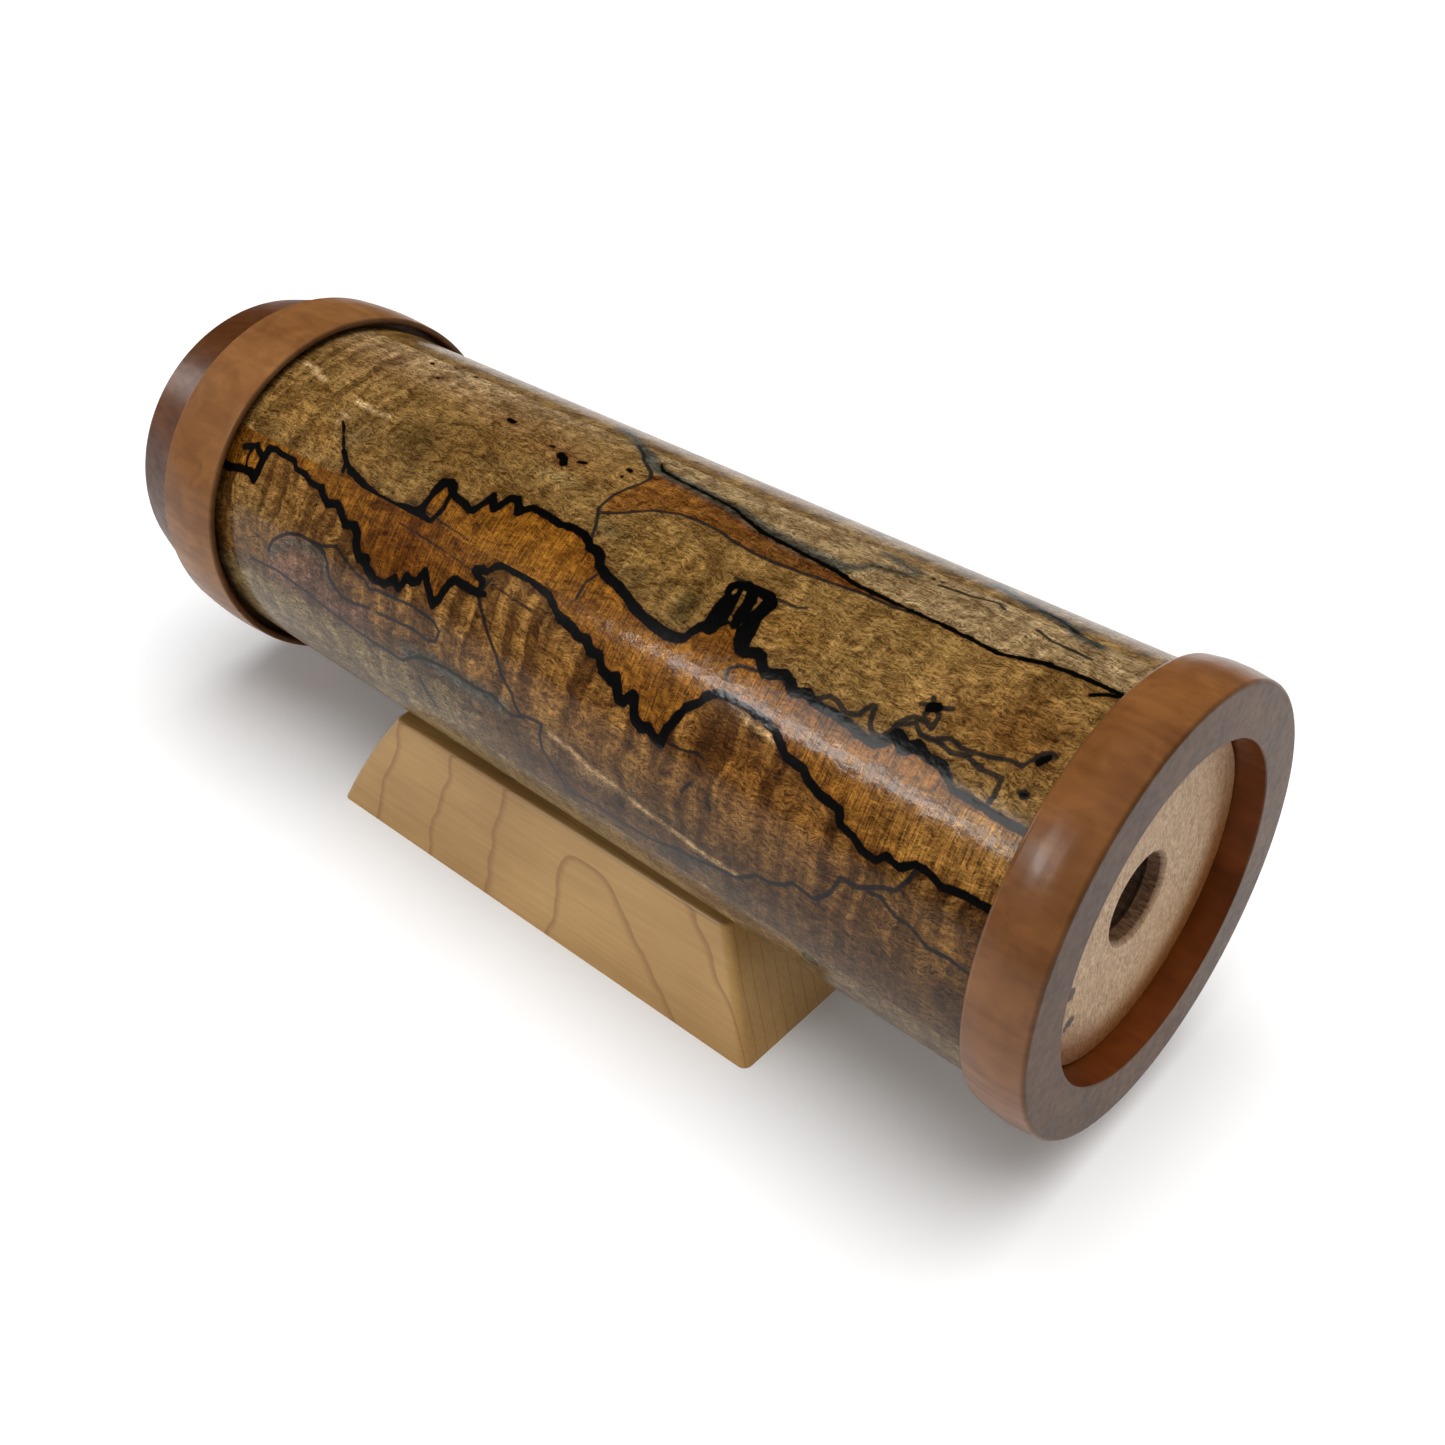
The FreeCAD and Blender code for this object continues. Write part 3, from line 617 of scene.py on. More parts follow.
def plain_lines(number):
    """Bold and fine lines of a stave that has few drawn ones or none."""
    random = np.random.RandomState(70 + number)
    middle = FIRST_SEAM + STAVE_ARC * (number - 0.5)
    bold = STAVE_6_BOLD if number == 6 else []
    fine = STAVE_3_HAIR if number == 3 else []
    if number in (4, 5):
        bold = [
            (0.7, wandering_line(random, 192, 6, middle + random.uniform(-12, 12), 7.0)),
            (0.5, wandering_line(random, 150, 60, middle + random.uniform(-20, 20), 5.0)),
        ]
    for _ in range(5):
        start = random.uniform(60, 190)
        end = max(6.0, start - random.uniform(30, 90))
        spread = random.uniform(-24, 24) if number in (4, 5) else random.uniform(-8, 12)
        fine = fine + [(0.25, wandering_line(random, start, end, middle + spread, 5.0))]
    return bold, fine


# ---------------- staves
FINE_PITCH = 0.29
COARSE_PITCH = 0.6
DISC_GAP = 0.1
SEAM_DIP = 0.07


def stave(number):
    """One of the six glued staves of the barrel, turned and bored."""
    first = FIRST_SEAM + STAVE_ARC * (number - 1)
    seen = number in (1, 2)
    pitch = FINE_PITCH if seen else COARSE_PITCH
    disc_rear = span("eyepiece_disc")[1]
    seat = span("eyepiece_disc")[2] + DISC_GAP
    outline = rounded_outline([
        (BARREL_START, seat, 0, 0),
        (BARREL_START, NEAR_RADIUS, 0, pitch),
        (SHOULDER, FAR_RADIUS, 0.4, 0),
        (SHOULDER, SPIGOT_RADIUS, 0, 2.0),
        (SPIGOT_END, SPIGOT_RADIUS, 0, 0),
        (SPIGOT_END, BORE, 0, 12.0),
        (disc_rear, BORE, 0, 0),
        (disc_rear, seat, 0, 0),
    ])
    stations, radii, normals = outline
    count = len(stations)
    columns = int(STAVE_ARC * MM_PER_DEGREE / pitch)
    bearings = np.linspace(first, first + STAVE_ARC, columns)
    s, r, b, n = swept(outline, bearings)
    outside = (normals[:, 1] > 0.99) & (stations < SHOULDER - 0.1)
    r[outside, 0] -= SEAM_DIP
    r[outside, -1] -= SEAM_DIP
    points = place(s, r, b).reshape(-1, 3)
    directions = facing(n, b).reshape(-1, 3)
    faces = grid_faces(count, columns, False)
    inner = np.arange(count) * columns
    ends = []
    for column, sign in ((0, -1.0), (columns - 1, 1.0)):
        turn = math.radians(bearings[column])
        side = np.array((0.0, -math.cos(turn) * sign, -math.sin(turn) * sign))
        ends.append(len(points))
        points = np.concatenate((points, points[inner + column]))
        directions = np.concatenate((directions, np.tile(side, (count, 1))))
    sides = [list(range(ends[0], ends[0] + count)), list(range(ends[1], ends[1] + count))[::-1]]
    piece = build_mesh(STAVES[number - 1].replace("stave", "wood"), points, faces + sides, directions)

    s_all = np.concatenate((s.ravel(), stations, stations))
    b_all = np.concatenate((b.ravel(), np.full(count, first), np.full(count, first + STAVE_ARC)))
    r_all = np.concatenate((r.ravel(), radii, radii))
    skin = np.concatenate((np.repeat(outside, columns), np.zeros(2 * count, bool)))
    paint_stave(piece.data, number, s_all, b_all, r_all, skin)
    return piece


BARE_WOOD = (150, 112, 66)
GRAIN_STEP = 37.0        # keeps the grain of one stave from running on into the next


def paint_stave(mesh, number, s, bearing, radius, skin):
    """Store the stave's colour, line distances and grain coordinates on its vertices."""
    t = bearing * MM_PER_DEGREE
    cross = np.zeros(len(s))
    curl = np.full(len(s), 0.4)
    if number == 1:
        bold, fine, tint_of = STAVE_1_BOLD, STAVE_1_HAIR, stave_1_tint
        cross = (past_line(s, bearing, AMBER_EDGE) & (s < 166)).astype(float)
        curl = np.clip(0.3 + (s - 150) / 80, 0.3, 0.6)
    elif number == 2:
        bold, fine, tint_of = STAVE_2_BOLD, STAVE_2_HAIR, stave_2_tint
        cross = (~past_line(s, bearing, LOWER_LINE)).astype(float)
        curl = np.where(cross > 0, 0.3, np.clip(1.1 - np.abs(bearing - 62) / 40, 0.5, 1.0))
    else:
        bold, fine = plain_lines(number)
        tint_of = plain_tint(number)
    ink, hair = np.full((2, len(s)), UNMARKED)
    ink[skin] = nearest_stroke(s[skin], t[skin], bold)
    hair[skin] = nearest_stroke(s[skin], t[skin], fine)
    for station, middle, half_width, tall in ISLANDS:
        gap = np.hypot((s - station) / half_width, (bearing - middle) / tall) - 1.0
        ink = np.maximum(ink, -gap * half_width)
    tint = plain(s, BARE_WOOD)
    tint[skin] = tint_of(s[skin], bearing[skin])
    grain = np.stack((s + GRAIN_STEP * number, t, radius), axis=-1)
    for name, values in (("ink", ink), ("hair", hair), ("curl", curl), ("cross", cross)):
        store(mesh, name, values)
    layer = mesh.attributes.new("grain", "FLOAT_VECTOR", "POINT")
    layer.data.foreach_set("vector", grain.astype(np.float32).ravel())
    layer = mesh.attributes.new("tint", "FLOAT_COLOR", "POINT")
    layer.data.foreach_set("color", tint.astype(np.float32).ravel())


# ---------------- building finishes
class Finish:
    """A node material being put together around one Principled shader."""

    def __init__(self, name):
        self.material = bpy.data.materials.new(name)
        self.material.use_nodes = True
        self.tree = self.material.node_tree
        self.tree.nodes.clear()
        self.shader = self.tree.nodes.new("ShaderNodeBsdfPrincipled")
        output = self.tree.nodes.new("ShaderNodeOutputMaterial")
        self.tree.links.new(self.shader.outputs["BSDF"], output.inputs["Surface"])

    def feed(self, socket, value):
        """Link a socket to another, or set it to a plain value."""
        if isinstance(value, bpy.types.NodeSocket):
            self.tree.links.new(value, socket)
        else:
            socket.default_value = value

    def set(self, **values):
        """Set inputs of the shader; underscores stand for spaces."""
        for name, value in values.items():
            self.feed(self.shader.inputs[name.replace("_", " ")], value)

    def add(self, kind, inputs=None, **settings):
        """Add a node, give it settings, then feed its inputs."""
        made = self.tree.nodes.new(kind)
        for name, value in settings.items():
            setattr(made, name, value)
        for key, value in (inputs or {}).items():
            self.feed(made.inputs[key], value)
        return made

    def layer(self, name, output="Fac"):
        """Read a layer of values stored on the mesh."""
        return self.add("ShaderNodeAttribute", attribute_name=name).outputs[output]

    def spread(self, scale, turn=(0.0, 0.0, 0.0), source=None):
        """Coordinates stretched by scale; without a source, mm in the piece's own frame."""
        if source is None:
            source = self.add("ShaderNodeTexCoord").outputs["Object"]
            scale = tuple(value * 1000.0 for value in scale)
        turned = tuple(math.radians(value) for value in turn)
        inputs = {"Vector": source, "Scale": scale, "Rotation": turned}
        return self.add("ShaderNodeMapping", inputs).outputs[0]

    def noise(self, scale, detail=4.0, rough=0.55, distortion=0.0, turn=(0.0, 0.0, 0.0), source=None):
        """Noise over coordinates stretched by scale."""
        inputs = {"Vector": self.spread(scale, turn, source), "Scale": 1.0, "Detail": detail,
                  "Roughness": rough, "Distortion": distortion}
        return self.add("ShaderNodeTexNoise", inputs).outputs[0]

    def cells(self, scale, source=None):
        """Distance from scattered points, over coordinates stretched by scale."""
        inputs = {"Vector": self.spread(scale, source=source), "Scale": 1.0}
        return self.add("ShaderNodeTexVoronoi", inputs).outputs["Distance"]

    def sums(self, operation, a, b=0.0, c=0.0):
        return self.add("ShaderNodeMath", {0: a, 1: b, 2: c}, operation=operation).outputs[0]

    def remap(self, value, low=0.3, high=0.7, to_low=0.0, to_high=1.0):
        """Value eased from one range to another; the first is the usual spread of a noise."""
        inputs = {"Value": value, "From Min": low, "From Max": high, "To Min": to_low, "To Max": to_high}
        return self.add("ShaderNodeMapRange", inputs, interpolation_type="SMOOTHSTEP").outputs[0]

    def mix(self, amount, a, b, how="MIX"):
        made = self.add("ShaderNodeMix", data_type="RGBA", blend_type=how)
        self.feed(made.inputs[0], amount)
        self.feed(made.inputs[6], a)
        self.feed(made.inputs[7], b)
        return made.outputs[2]

    def shades(self, value, low_colour, high_colour, *ends):
        """Colour that goes from one shade to the other as a value rises."""
        return self.mix(self.remap(value, *ends), low_colour, high_colour)

    def toned(self, base, tone):
        """Base colour multiplied by a tone."""
        return self.mix(1.0, base, tone, "MULTIPLY")

    def bump(self, height, strength, depth_mm, under=None):
        inputs = {"Height": height, "Strength": strength, "Distance": depth_mm * MM}
        if under is not None:
            inputs["Normal"] = under
        return self.add("ShaderNodeBump", inputs).outputs[0]


# ---------------- finishes of wood
def spalted_wood():
    """Lacquered spalted curly maple: fibres, curl, sanding scratches and black zone lines."""
    f = Finish("spalted_wood")
    grain = f.layer("grain", "Vector")
    tint = f.layer("tint", "Color")
    curl = f.layer("curl")
    cross = f.layer("cross")

    slow = f.noise((0.07, 0.14, 0.14), 3.0, source=grain)
    quick_sway = f.noise((0.5, 0.24, 0.24), 2.0, source=grain)
    swayed = f.add("ShaderNodeCombineXYZ", {
        "X": f.sums("MULTIPLY", slow, 6.0),
        "Y": f.sums("MULTIPLY_ADD", quick_sway, 1.7, f.sums("MULTIPLY", slow, 4.0)),
    }).outputs[0]
    bent = f.add("ShaderNodeVectorMath", {0: grain, 1: swayed}, operation="ADD").outputs[0]

    fibres = f.noise((0.5, 2.3, 2.3), 6.0, 0.7, 0.7, source=bent)
    fine = f.noise((1.5, 4.6, 4.6), 4.0, 0.75, 0.6, source=bent)
    scratch = f.noise((3.4, 0.28, 0.5), 5.0, 0.65, turn=(0, 0, 10), source=grain)
    mottle = f.noise((0.2, 0.34, 0.34), 5.0, 0.65, 1.0, source=bent)

    texture = f.sums("MULTIPLY_ADD", fibres, 0.52, f.sums("MULTIPLY", fine, 0.48))
    crossed = f.sums("MULTIPLY_ADD", scratch, 0.5, f.sums("MULTIPLY", texture, 0.5))
    mixed = f.add("ShaderNodeMix", {0: f.sums("MULTIPLY_ADD", cross, 0.5, 0.3)}, data_type="FLOAT")
    f.feed(mixed.inputs[2], texture)
    f.feed(mixed.inputs[3], crossed)
    fibre = f.remap(mixed.outputs[0], 0.4, 0.61)

    wood = f.mix(fibre, f.toned(tint, (0.26, 0.22, 0.16, 1)), f.toned(tint, (1.9, 2.0, 2.2, 1)))
    wood = f.toned(wood, f.shades(mottle, (0.58, 0.52, 0.44, 1), (1.34, 1.37, 1.4, 1), 0.32, 0.68))

    bands = f.noise((0.3, 0.02, 0.02), 1.0, 0.5, turn=(0, 0, -7), source=bent)
    stripes = f.shades(bands, (0.58, 0.52, 0.46, 1), (1.4, 1.42, 1.42, 1), 0.42, 0.58)
    wood = f.mix(curl, wood, f.toned(wood, stripes))
    tight = f.noise((0.9, 0.08, 0.08), 2.0, 0.5, turn=(0, 0, -7), source=bent)
    ripples = f.shades(tight, (0.78, 0.75, 0.7, 1), (1.2, 1.2, 1.2, 1), 0.36, 0.64)
    wood = f.mix(curl, wood, f.toned(wood, ripples))

    specks = f.cells((0.3, 0.5, 0.5), bent)
    wood = f.mix(f.remap(specks, 0.03, 0.09, 0.7, 0.0), wood, (0.008, 0.007, 0.006, 1))

    jag = f.noise((0.55, 0.55, 0.55), 3.0, 0.6, source=grain)
    ragged = f.sums("SUBTRACT", jag, 0.5)
    edge = f.sums("MULTIPLY_ADD", ragged, 0.8, f.layer("ink"))
    halo = f.remap(edge, 0.0, 1.0, 0.5, 0.0)
    wood = f.mix(halo, wood, f.toned(wood, (0.5, 0.36, 0.22, 1)))
    hair_edge = f.sums("MULTIPLY_ADD", ragged, 0.3, f.layer("hair"))
    hair = f.remap(hair_edge, -0.08, 0.24, 0.9, 0.0)
    wood = f.mix(hair, wood, (0.006, 0.007, 0.008, 1))
    black = f.remap(edge, -0.1, 0.14, 1.0, 0.0)
    wood = f.mix(black, wood, (0.0012, 0.0013, 0.0012, 1))

    f.set(Base_Color=wood, Roughness=f.remap(fibre, 0, 1, 0.4, 0.3), Specular_IOR_Level=0.04)
    f.set(Coat_Weight=0.44, Coat_IOR=1.36, Coat_Roughness=0.11)
    skin_height = f.noise((0.35, 0.5, 0.5), 2.0, source=grain)
    lacquer = f.sums("MULTIPLY_ADD", mixed.outputs[0], 0.2, skin_height)
    f.set(Normal=f.bump(fibre, 0.25, 0.05), Coat_Normal=f.bump(lacquer, 0.5, 0.12))
    return f.material


def turned_cherry(name, light, dark, turn, gloss):
    """Oiled and polished cherry; painted shade darkens its bore, and painted shade with a grey sheen
    darkens its end face, which is also less glossy; turn sets the way of its grain.
    """
    f = Finish(name)
    broad = f.noise((0.012, 0.07, 0.07), 3.0, 0.55, 0.8, turn=turn)
    streak = f.noise((0.03, 0.7, 0.7), 4.0, 0.55, turn=turn)
    pores = f.noise((0.35, 3.6, 3.6), 3.0, 0.6, turn=turn)
    flame = f.noise((0.16, 0.22, 0.22), 3.0, 0.5, 0.6, turn=turn)
    base = f.shades(broad, dark, light)
    base = f.toned(base, f.shades(streak, (0.93, 0.91, 0.88, 1), (1.05, 1.05, 1.04, 1)))
    base = f.toned(base, f.shades(flame, (0.86, 0.83, 0.8, 1), (1.12, 1.12, 1.1, 1)))
    base = f.mix(f.remap(pores, 0.62, 0.74, 0.0, 0.35), base, (0.05, 0.02, 0.008, 1))
    specks = f.cells((0.085, 0.085, 0.085))
    base = f.mix(f.remap(specks, 0.012, 0.03, 0.9, 0.0), base, (0.006, 0.004, 0.003, 1))
    # Painted shade: surfaces that face into the bore are darkened and reddened.
    base = f.mix(f.layer("bore"), base, f.toned(base, (0.66, 0.4, 0.24, 1)))
    face = f.layer("face")
    # Painted shade with a grey sheen: faces turned towards the eyepiece are darkened and greyed.
    base = f.mix(face, base, f.toned(base, (0.42, 0.46, 0.52, 1)))
    f.set(Base_Color=base, Roughness=f.remap(streak, 0.3, 0.7, 0.46, 0.36), Specular_IOR_Level=0.05)
    f.set(Coat_Weight=f.remap(face, 0, 1, gloss, gloss * 0.4), Coat_IOR=1.4, Coat_Roughness=0.24)
    tool_marks = f.noise((0.5, 0.22, 0.22), 3.0)
    f.set(Normal=f.bump(pores, 0.15, 0.04), Coat_Normal=f.bump(tool_marks, 0.3, 0.08))
    return f.material


def disc_wood():
    """Pale quilted maple with a fuzzy, barely finished surface; the sight hole is bored rough."""
    f = Finish("disc_wood")
    squiggle = f.noise((0.9, 1.5, 0.62), 5.0, 0.66, 1.6, turn=(24, 0, 0))
    fuzz = f.noise((3.0, 3.0, 1.4), 3.0, 0.7, 0.5, turn=(24, 0, 0))
    cloud = f.noise((0.05, 0.06, 0.06), 3.0)
    base = f.shades(squiggle, srgb(130, 97, 63), srgb(194, 165, 131), 0.34, 0.66)
    base = f.mix(f.remap(fuzz, 0.3, 0.7, 0.0, 0.3), base, srgb(164, 134, 104))
    base = f.mix(f.remap(cloud, 0.3, 0.7, 0.0, 0.4), base, srgb(166, 131, 92))
    # Painted shade: the disc's rim beside the recess wall is darkened and browned, most towards the bottom.
    base = f.mix(f.layer("painted_rim_shade"), base, f.toned(base, (0.54, 0.32, 0.15, 1)))
    bore = f.layer("bore")
    rough_wall = f.noise((0.5, 2.2, 2.2), 5.0, 0.7)
    wall = f.shades(rough_wall, srgb(70, 44, 26), srgb(140, 104, 76))
    base = f.mix(bore, base, wall)
    chips = f.layer("chips")
    flake = f.noise((1.1, 1.1, 1.1), 3.0, 0.6)
    ragged = f.sums("MULTIPLY", f.sums("SUBTRACT", flake, 0.5), 1.6)
    torn = f.remap(f.sums("ADD", chips, ragged), 0.55, 0.7)
    base = f.mix(f.sums("MULTIPLY", torn, 0.9), base, srgb(44, 28, 14))
    f.set(Base_Color=base, Roughness=f.remap(squiggle, 0.3, 0.7, 0.62, 0.48), Specular_IOR_Level=0.3)
    f.set(Coat_Weight=0.12, Coat_Roughness=0.35)
    f.set(Normal=f.bump(squiggle, 0.5, 0.1, f.bump(f.sums("MULTIPLY", rough_wall, bore), 0.8, 0.5)))
    return f.material


def cradle_wood():
    """Satin maple with thin brown growth lines that rise to an arch along its sides."""
    f = Finish("cradle_wood")
    wander = f.noise((0.02, 0.05, 0.05), 3.0, 0.5)
    along, across, height = f.add("ShaderNodeSeparateXYZ", {0: f.spread((1.0, 1.0, 1.0))}).outputs
    upright = f.sums("SUBTRACT", 12.0, along)
    sloping = f.sums("MULTIPLY_ADD", along, 0.7, f.sums("MULTIPLY_ADD", height, 0.71, -20.0))
    crown = f.sums("MULTIPLY", f.sums("SUBTRACT", height, 13.5), 1.5)
    arch = f.sums("SMOOTH_MAX", f.sums("SMOOTH_MAX", upright, sloping, 6.0), crown, 6.0)
    sheets = f.sums("MULTIPLY_ADD", height, -0.368, f.sums("ADD", across, 33.8))
    rings = f.sums("ADD", f.sums("DIVIDE", sheets, 2.7), f.sums("DIVIDE", arch, 15.5))
    phase = f.sums("FRACT", f.sums("MULTIPLY_ADD", wander, 0.8, f.sums("ADD", rings, 20.2)))
    line = f.sums("MULTIPLY", f.remap(phase, 0.86, 0.97), f.remap(phase, 0.97, 1.0, 1.0, 0.0))
    fibre = f.noise((0.05, 1.4, 1.4), 5.0, 0.6)
    flecks = f.noise((0.5, 3.0, 3.0), 3.0, 0.6)
    cloud = f.noise((0.02, 0.05, 0.05), 3.0)
    base = f.shades(cloud, srgb(160, 121, 66), srgb(181, 142, 84))
    base = f.toned(base, f.shades(fibre, (0.93, 0.91, 0.88, 1), (1.04, 1.04, 1.04, 1)))
    base = f.mix(f.remap(flecks, 0.6, 0.72, 0.0, 0.2), base, srgb(150, 106, 60))
    base = f.mix(f.sums("MULTIPLY", line, 0.5), base, srgb(120, 72, 28))
    f.set(Base_Color=base, Roughness=f.remap(fibre, 0.3, 0.7, 0.5, 0.38), Specular_IOR_Level=0.35)
    f.set(Coat_Weight=0.25, Coat_Roughness=0.28)
    f.set(Normal=f.bump(fibre, 0.2, 0.05))
    return f.material


# ---------------- finishes of glass, card and metal
def glass(name, colour, smooth, frost):
    """Glass with faint swirls; smooth and frost are the least and greatest roughness."""
    f = Finish(name)
    swirl = f.noise((0.08, 0.12, 0.12), 3.0)
    tone = f.shades(swirl, colour, tuple(0.94 * part for part in colour[:3]) + (1,))
    f.set(Base_Color=tone, Transmission_Weight=1.0, IOR=1.5)
    f.set(Roughness=f.remap(swirl, 0.3, 0.7, smooth, frost))
    f.set(Normal=f.bump(f.noise((2.0, 2.0, 2.0)), frost, 0.02))
    return f.material


def coloured_glass():
    """Loose glass in several strong colours that change from one piece to the next."""
    f = Finish("coloured_glass")
    pick = f.noise((0.02, 0.16, 0.16), 1.0)
    ramp = f.add("ShaderNodeValToRGB", {"Fac": f.remap(pick, 0.3, 0.7)})
    stops = [(0.0, srgb(190, 30, 36)), (0.22, srgb(220, 140, 20)), (0.45, srgb(30, 150, 70)),
             (0.7, srgb(30, 90, 190)), (1.0, srgb(130, 40, 150))]
    ramp.color_ramp.elements[0].color = stops[0][1]
    ramp.color_ramp.elements[1].color = stops[-1][1]
    for position, colour in stops[1:-1]:
        ramp.color_ramp.elements.new(position).color = colour
    swirl = f.noise((0.6, 0.6, 0.6), 2.0)
    f.set(Base_Color=ramp.outputs[0], Transmission_Weight=0.85, IOR=1.5)
    f.set(Roughness=f.remap(swirl, 0.3, 0.7, 0.02, 0.08))
    return f.material


def mirror_glass():
    """Front-surface mirror with a faint blue-grey cast and a few wipe marks."""
    f = Finish("mirror_glass")
    wipe = f.noise((0.02, 0.4, 0.4), 4.0)
    f.set(Base_Color=f.shades(wipe, srgb(196, 204, 208), srgb(222, 226, 228)), Metallic=1.0)
    f.set(Roughness=f.remap(wipe, 0.3, 0.7, 0.03, 0.1))
    return f.material


def sheet_stock(name, low, high, roughness, scale, depth):
    """Card, tape, foam or felt: two close shades, a fibrous or porous surface."""
    f = Finish(name)
    weave = f.noise((scale, scale, scale), 5.0, 0.7)
    f.set(Base_Color=f.shades(weave, low, high))
    f.set(Roughness=f.remap(weave, 0.3, 0.7, roughness, min(1.0, roughness + 0.12)))
    f.set(Normal=f.bump(weave, 0.6, depth))
    return f.material


def metal(name, low, high, roughness):
    """Turned metal with fine circular marks and slight tarnish."""
    f = Finish(name)
    marks = f.noise((6.0, 0.8, 0.8), 3.0)
    tarnish = f.noise((0.15, 0.15, 0.15), 4.0)
    f.set(Base_Color=f.shades(tarnish, low, high), Metallic=1.0)
    f.set(Roughness=f.remap(marks, 0.3, 0.7, roughness, roughness + 0.14))
    f.set(Normal=f.bump(marks, 0.2, 0.02))
    return f.material


FINISHES = {
    "spalted_wood": spalted_wood(),
    "ring_wood": turned_cherry("ring_wood", srgb(122, 79, 42), srgb(97, 59, 28), (0, 0, 78), 0.6),
    "collar_wood": turned_cherry("collar_wood", srgb(129, 87, 50), srgb(112, 72, 39), (0, 0, 84), 0.32),
    "cap_wood": turned_cherry("cap_wood", srgb(90, 50, 19), srgb(70, 37, 12), (0, 0, 66), 0.1),
    "disc_wood": disc_wood(),
    "cradle_wood": cradle_wood(),
    "clear_glass": glass("clear_glass", (0.94, 0.97, 0.97, 1), 0.0, 0.02),
    "frosted_glass": glass("frosted_glass", (0.9, 0.94, 0.94, 1), 0.4, 0.55),
    "coloured_glass": coloured_glass(),
    "mirror_glass": mirror_glass(),
    "black_card": sheet_stock("black_card", srgb(18, 18, 20), srgb(34, 33, 34), 0.8, 1.6, 0.05),
    "binding_tape": sheet_stock("binding_tape", srgb(24, 24, 26), srgb(40, 40, 42), 0.45, 2.5, 0.03),
    "foam_rubber": sheet_stock("foam_rubber", srgb(40, 40, 44), srgb(66, 66, 70), 0.85, 1.2, 0.3),
    "felt": sheet_stock("felt", srgb(40, 60, 46), srgb(62, 84, 66), 0.85, 3.0, 0.2),
    "spring_steel": metal("spring_steel", srgb(150, 152, 156), srgb(186, 188, 190), 0.22),
    "brass": metal("brass", srgb(176, 138, 70), srgb(206, 168, 96), 0.24),
}
FINISH_NODES = (
    ("cradle_wood", "cradle_block"),
    ("clear_glass", "eye_window barrel_end_glass cell_inner_glass"),
    ("black_card", "front_spacer cell_spacer_ring"),
    ("mirror_glass", "mirror_left mirror_right mirror_top_strip"),
    ("binding_tape", "mirror_bindings"),
    ("foam_rubber", "mirror_support_front mirror_support_rear"),
    ("spring_steel", "end_glass_snap_ring"),
    ("felt", "felt_washer"),
    ("brass", "retaining_washer retaining_screws cell_retaining_ring"),
    ("frosted_glass", "cell_frosted_glass"),
    ("coloured_glass", "glass_beads glass_rods glass_shards"),
)


# ---------------- visible turned pieces
def finish_piece(piece, body, node, finish):
    """Put a built piece in the assembly in place of its CAD node."""
    piece.data.materials.append(FINISHES[finish])
    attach(piece, body)
    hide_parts(node)
    return piece


TURN_PITCH = 0.8


def eyepiece_ring():
    """Cherry ring glued over the near end of the barrel, faintly crowned."""
    start, end, radius = span("eyepiece_ring")
    recess = span("eyepiece_disc")[2] + 0.3
    seat = NEAR_RADIUS + 0.06
    near_drop, far_drop = 0.45, 0.7
    shoulder, crown = 4.0, 14.0
    return turned_piece("ring_turning", [
        (start, recess, 0.3, 0),
        (start, radius - near_drop, 0.8, TURN_PITCH),
        (start + shoulder, radius, crown, TURN_PITCH),
        (end - shoulder, radius, crown, TURN_PITCH),
        (end, radius - far_drop, 1.2, 0),
        (end, seat, 0, TURN_PITCH),
        (BARREL_START, seat, 0, 0),
        (BARREL_START, recess, 0, TURN_PITCH),
    ])


def eyepiece_disc():
    """Maple disc with a roughly bored, countersunk sight hole and two torn places."""
    start, end, radius = span("eyepiece_disc")
    glass_start = span("eye_window")[0]
    glass_seat = span("eye_window")[2] + GLASS_GAP
    hole, countersink = 7.3, 0.8

    def torn_bore(s, r, b):
        wall = (np.abs(r - hole) < 0.06) & (s < glass_start - 0.1)
        tear = 0.10 * np.sin(np.radians(b) * 31 + 1.7 * np.sin(np.radians(b) * 7))
        tear += 0.07 * np.sin(np.radians(b) * 53 + s * 2.0)
        return np.where(wall, tear + 0.05, 0.0)

    piece = turned_piece("disc_turning", [
        (start, hole + countersink, 0.15, 0.4),
        (start, radius, 0.3, 0),
        (end, radius, 0, 0),
        (end, glass_seat, 0, 0),
        (glass_start, glass_seat, 0, 0),
        (glass_start, hole, 0, 0.25),
        (start + countersink, hole, 0, 0),
    ], wobble=torn_bore)
    count = len(piece.data.vertices)
    co = np.zeros(count * 3, np.float32)
    piece.data.vertices.foreach_get("co", co)
    co = co.reshape(-1, 3) / MM
    reach = np.hypot(co[:, 1], co[:, 2] - AXIS_Z)
    bore = np.clip(1 - (reach - hole - 0.35) / 0.5, 0, 1) * (co[:, 0] > FACE_X - glass_start - 0.1)
    bearing = np.degrees(np.arctan2(-co[:, 1], co[:, 2] - AXIS_Z)) % 360
    torn = np.zeros(count)
    chip_size = 1.8
    for chip_reach, chip_bearing in ((18.3, 110), (21.0, 128)):
        turn = math.radians(chip_bearing)
        across = co[:, 1] + chip_reach * math.sin(turn)
        above = co[:, 2] - AXIS_Z - chip_reach * math.cos(turn)
        torn += np.exp(-(across ** 2 + above ** 2) / chip_size ** 2)
    piece.data.attributes["bore"].data.foreach_set("value", bore.astype(np.float32))
    store(piece.data, "chips", torn)
    # Painted shade along the rim beside the recess wall, strongest towards the bottom.
    rim_band, fade = 8.0, 5.0
    rim = np.clip((reach - radius + rim_band) / fade, 0, 1)
    store(piece.data, "painted_rim_shade", rim * np.clip(0.5 - np.cos(np.radians(bearing - 20)), 0, 1))
    return piece


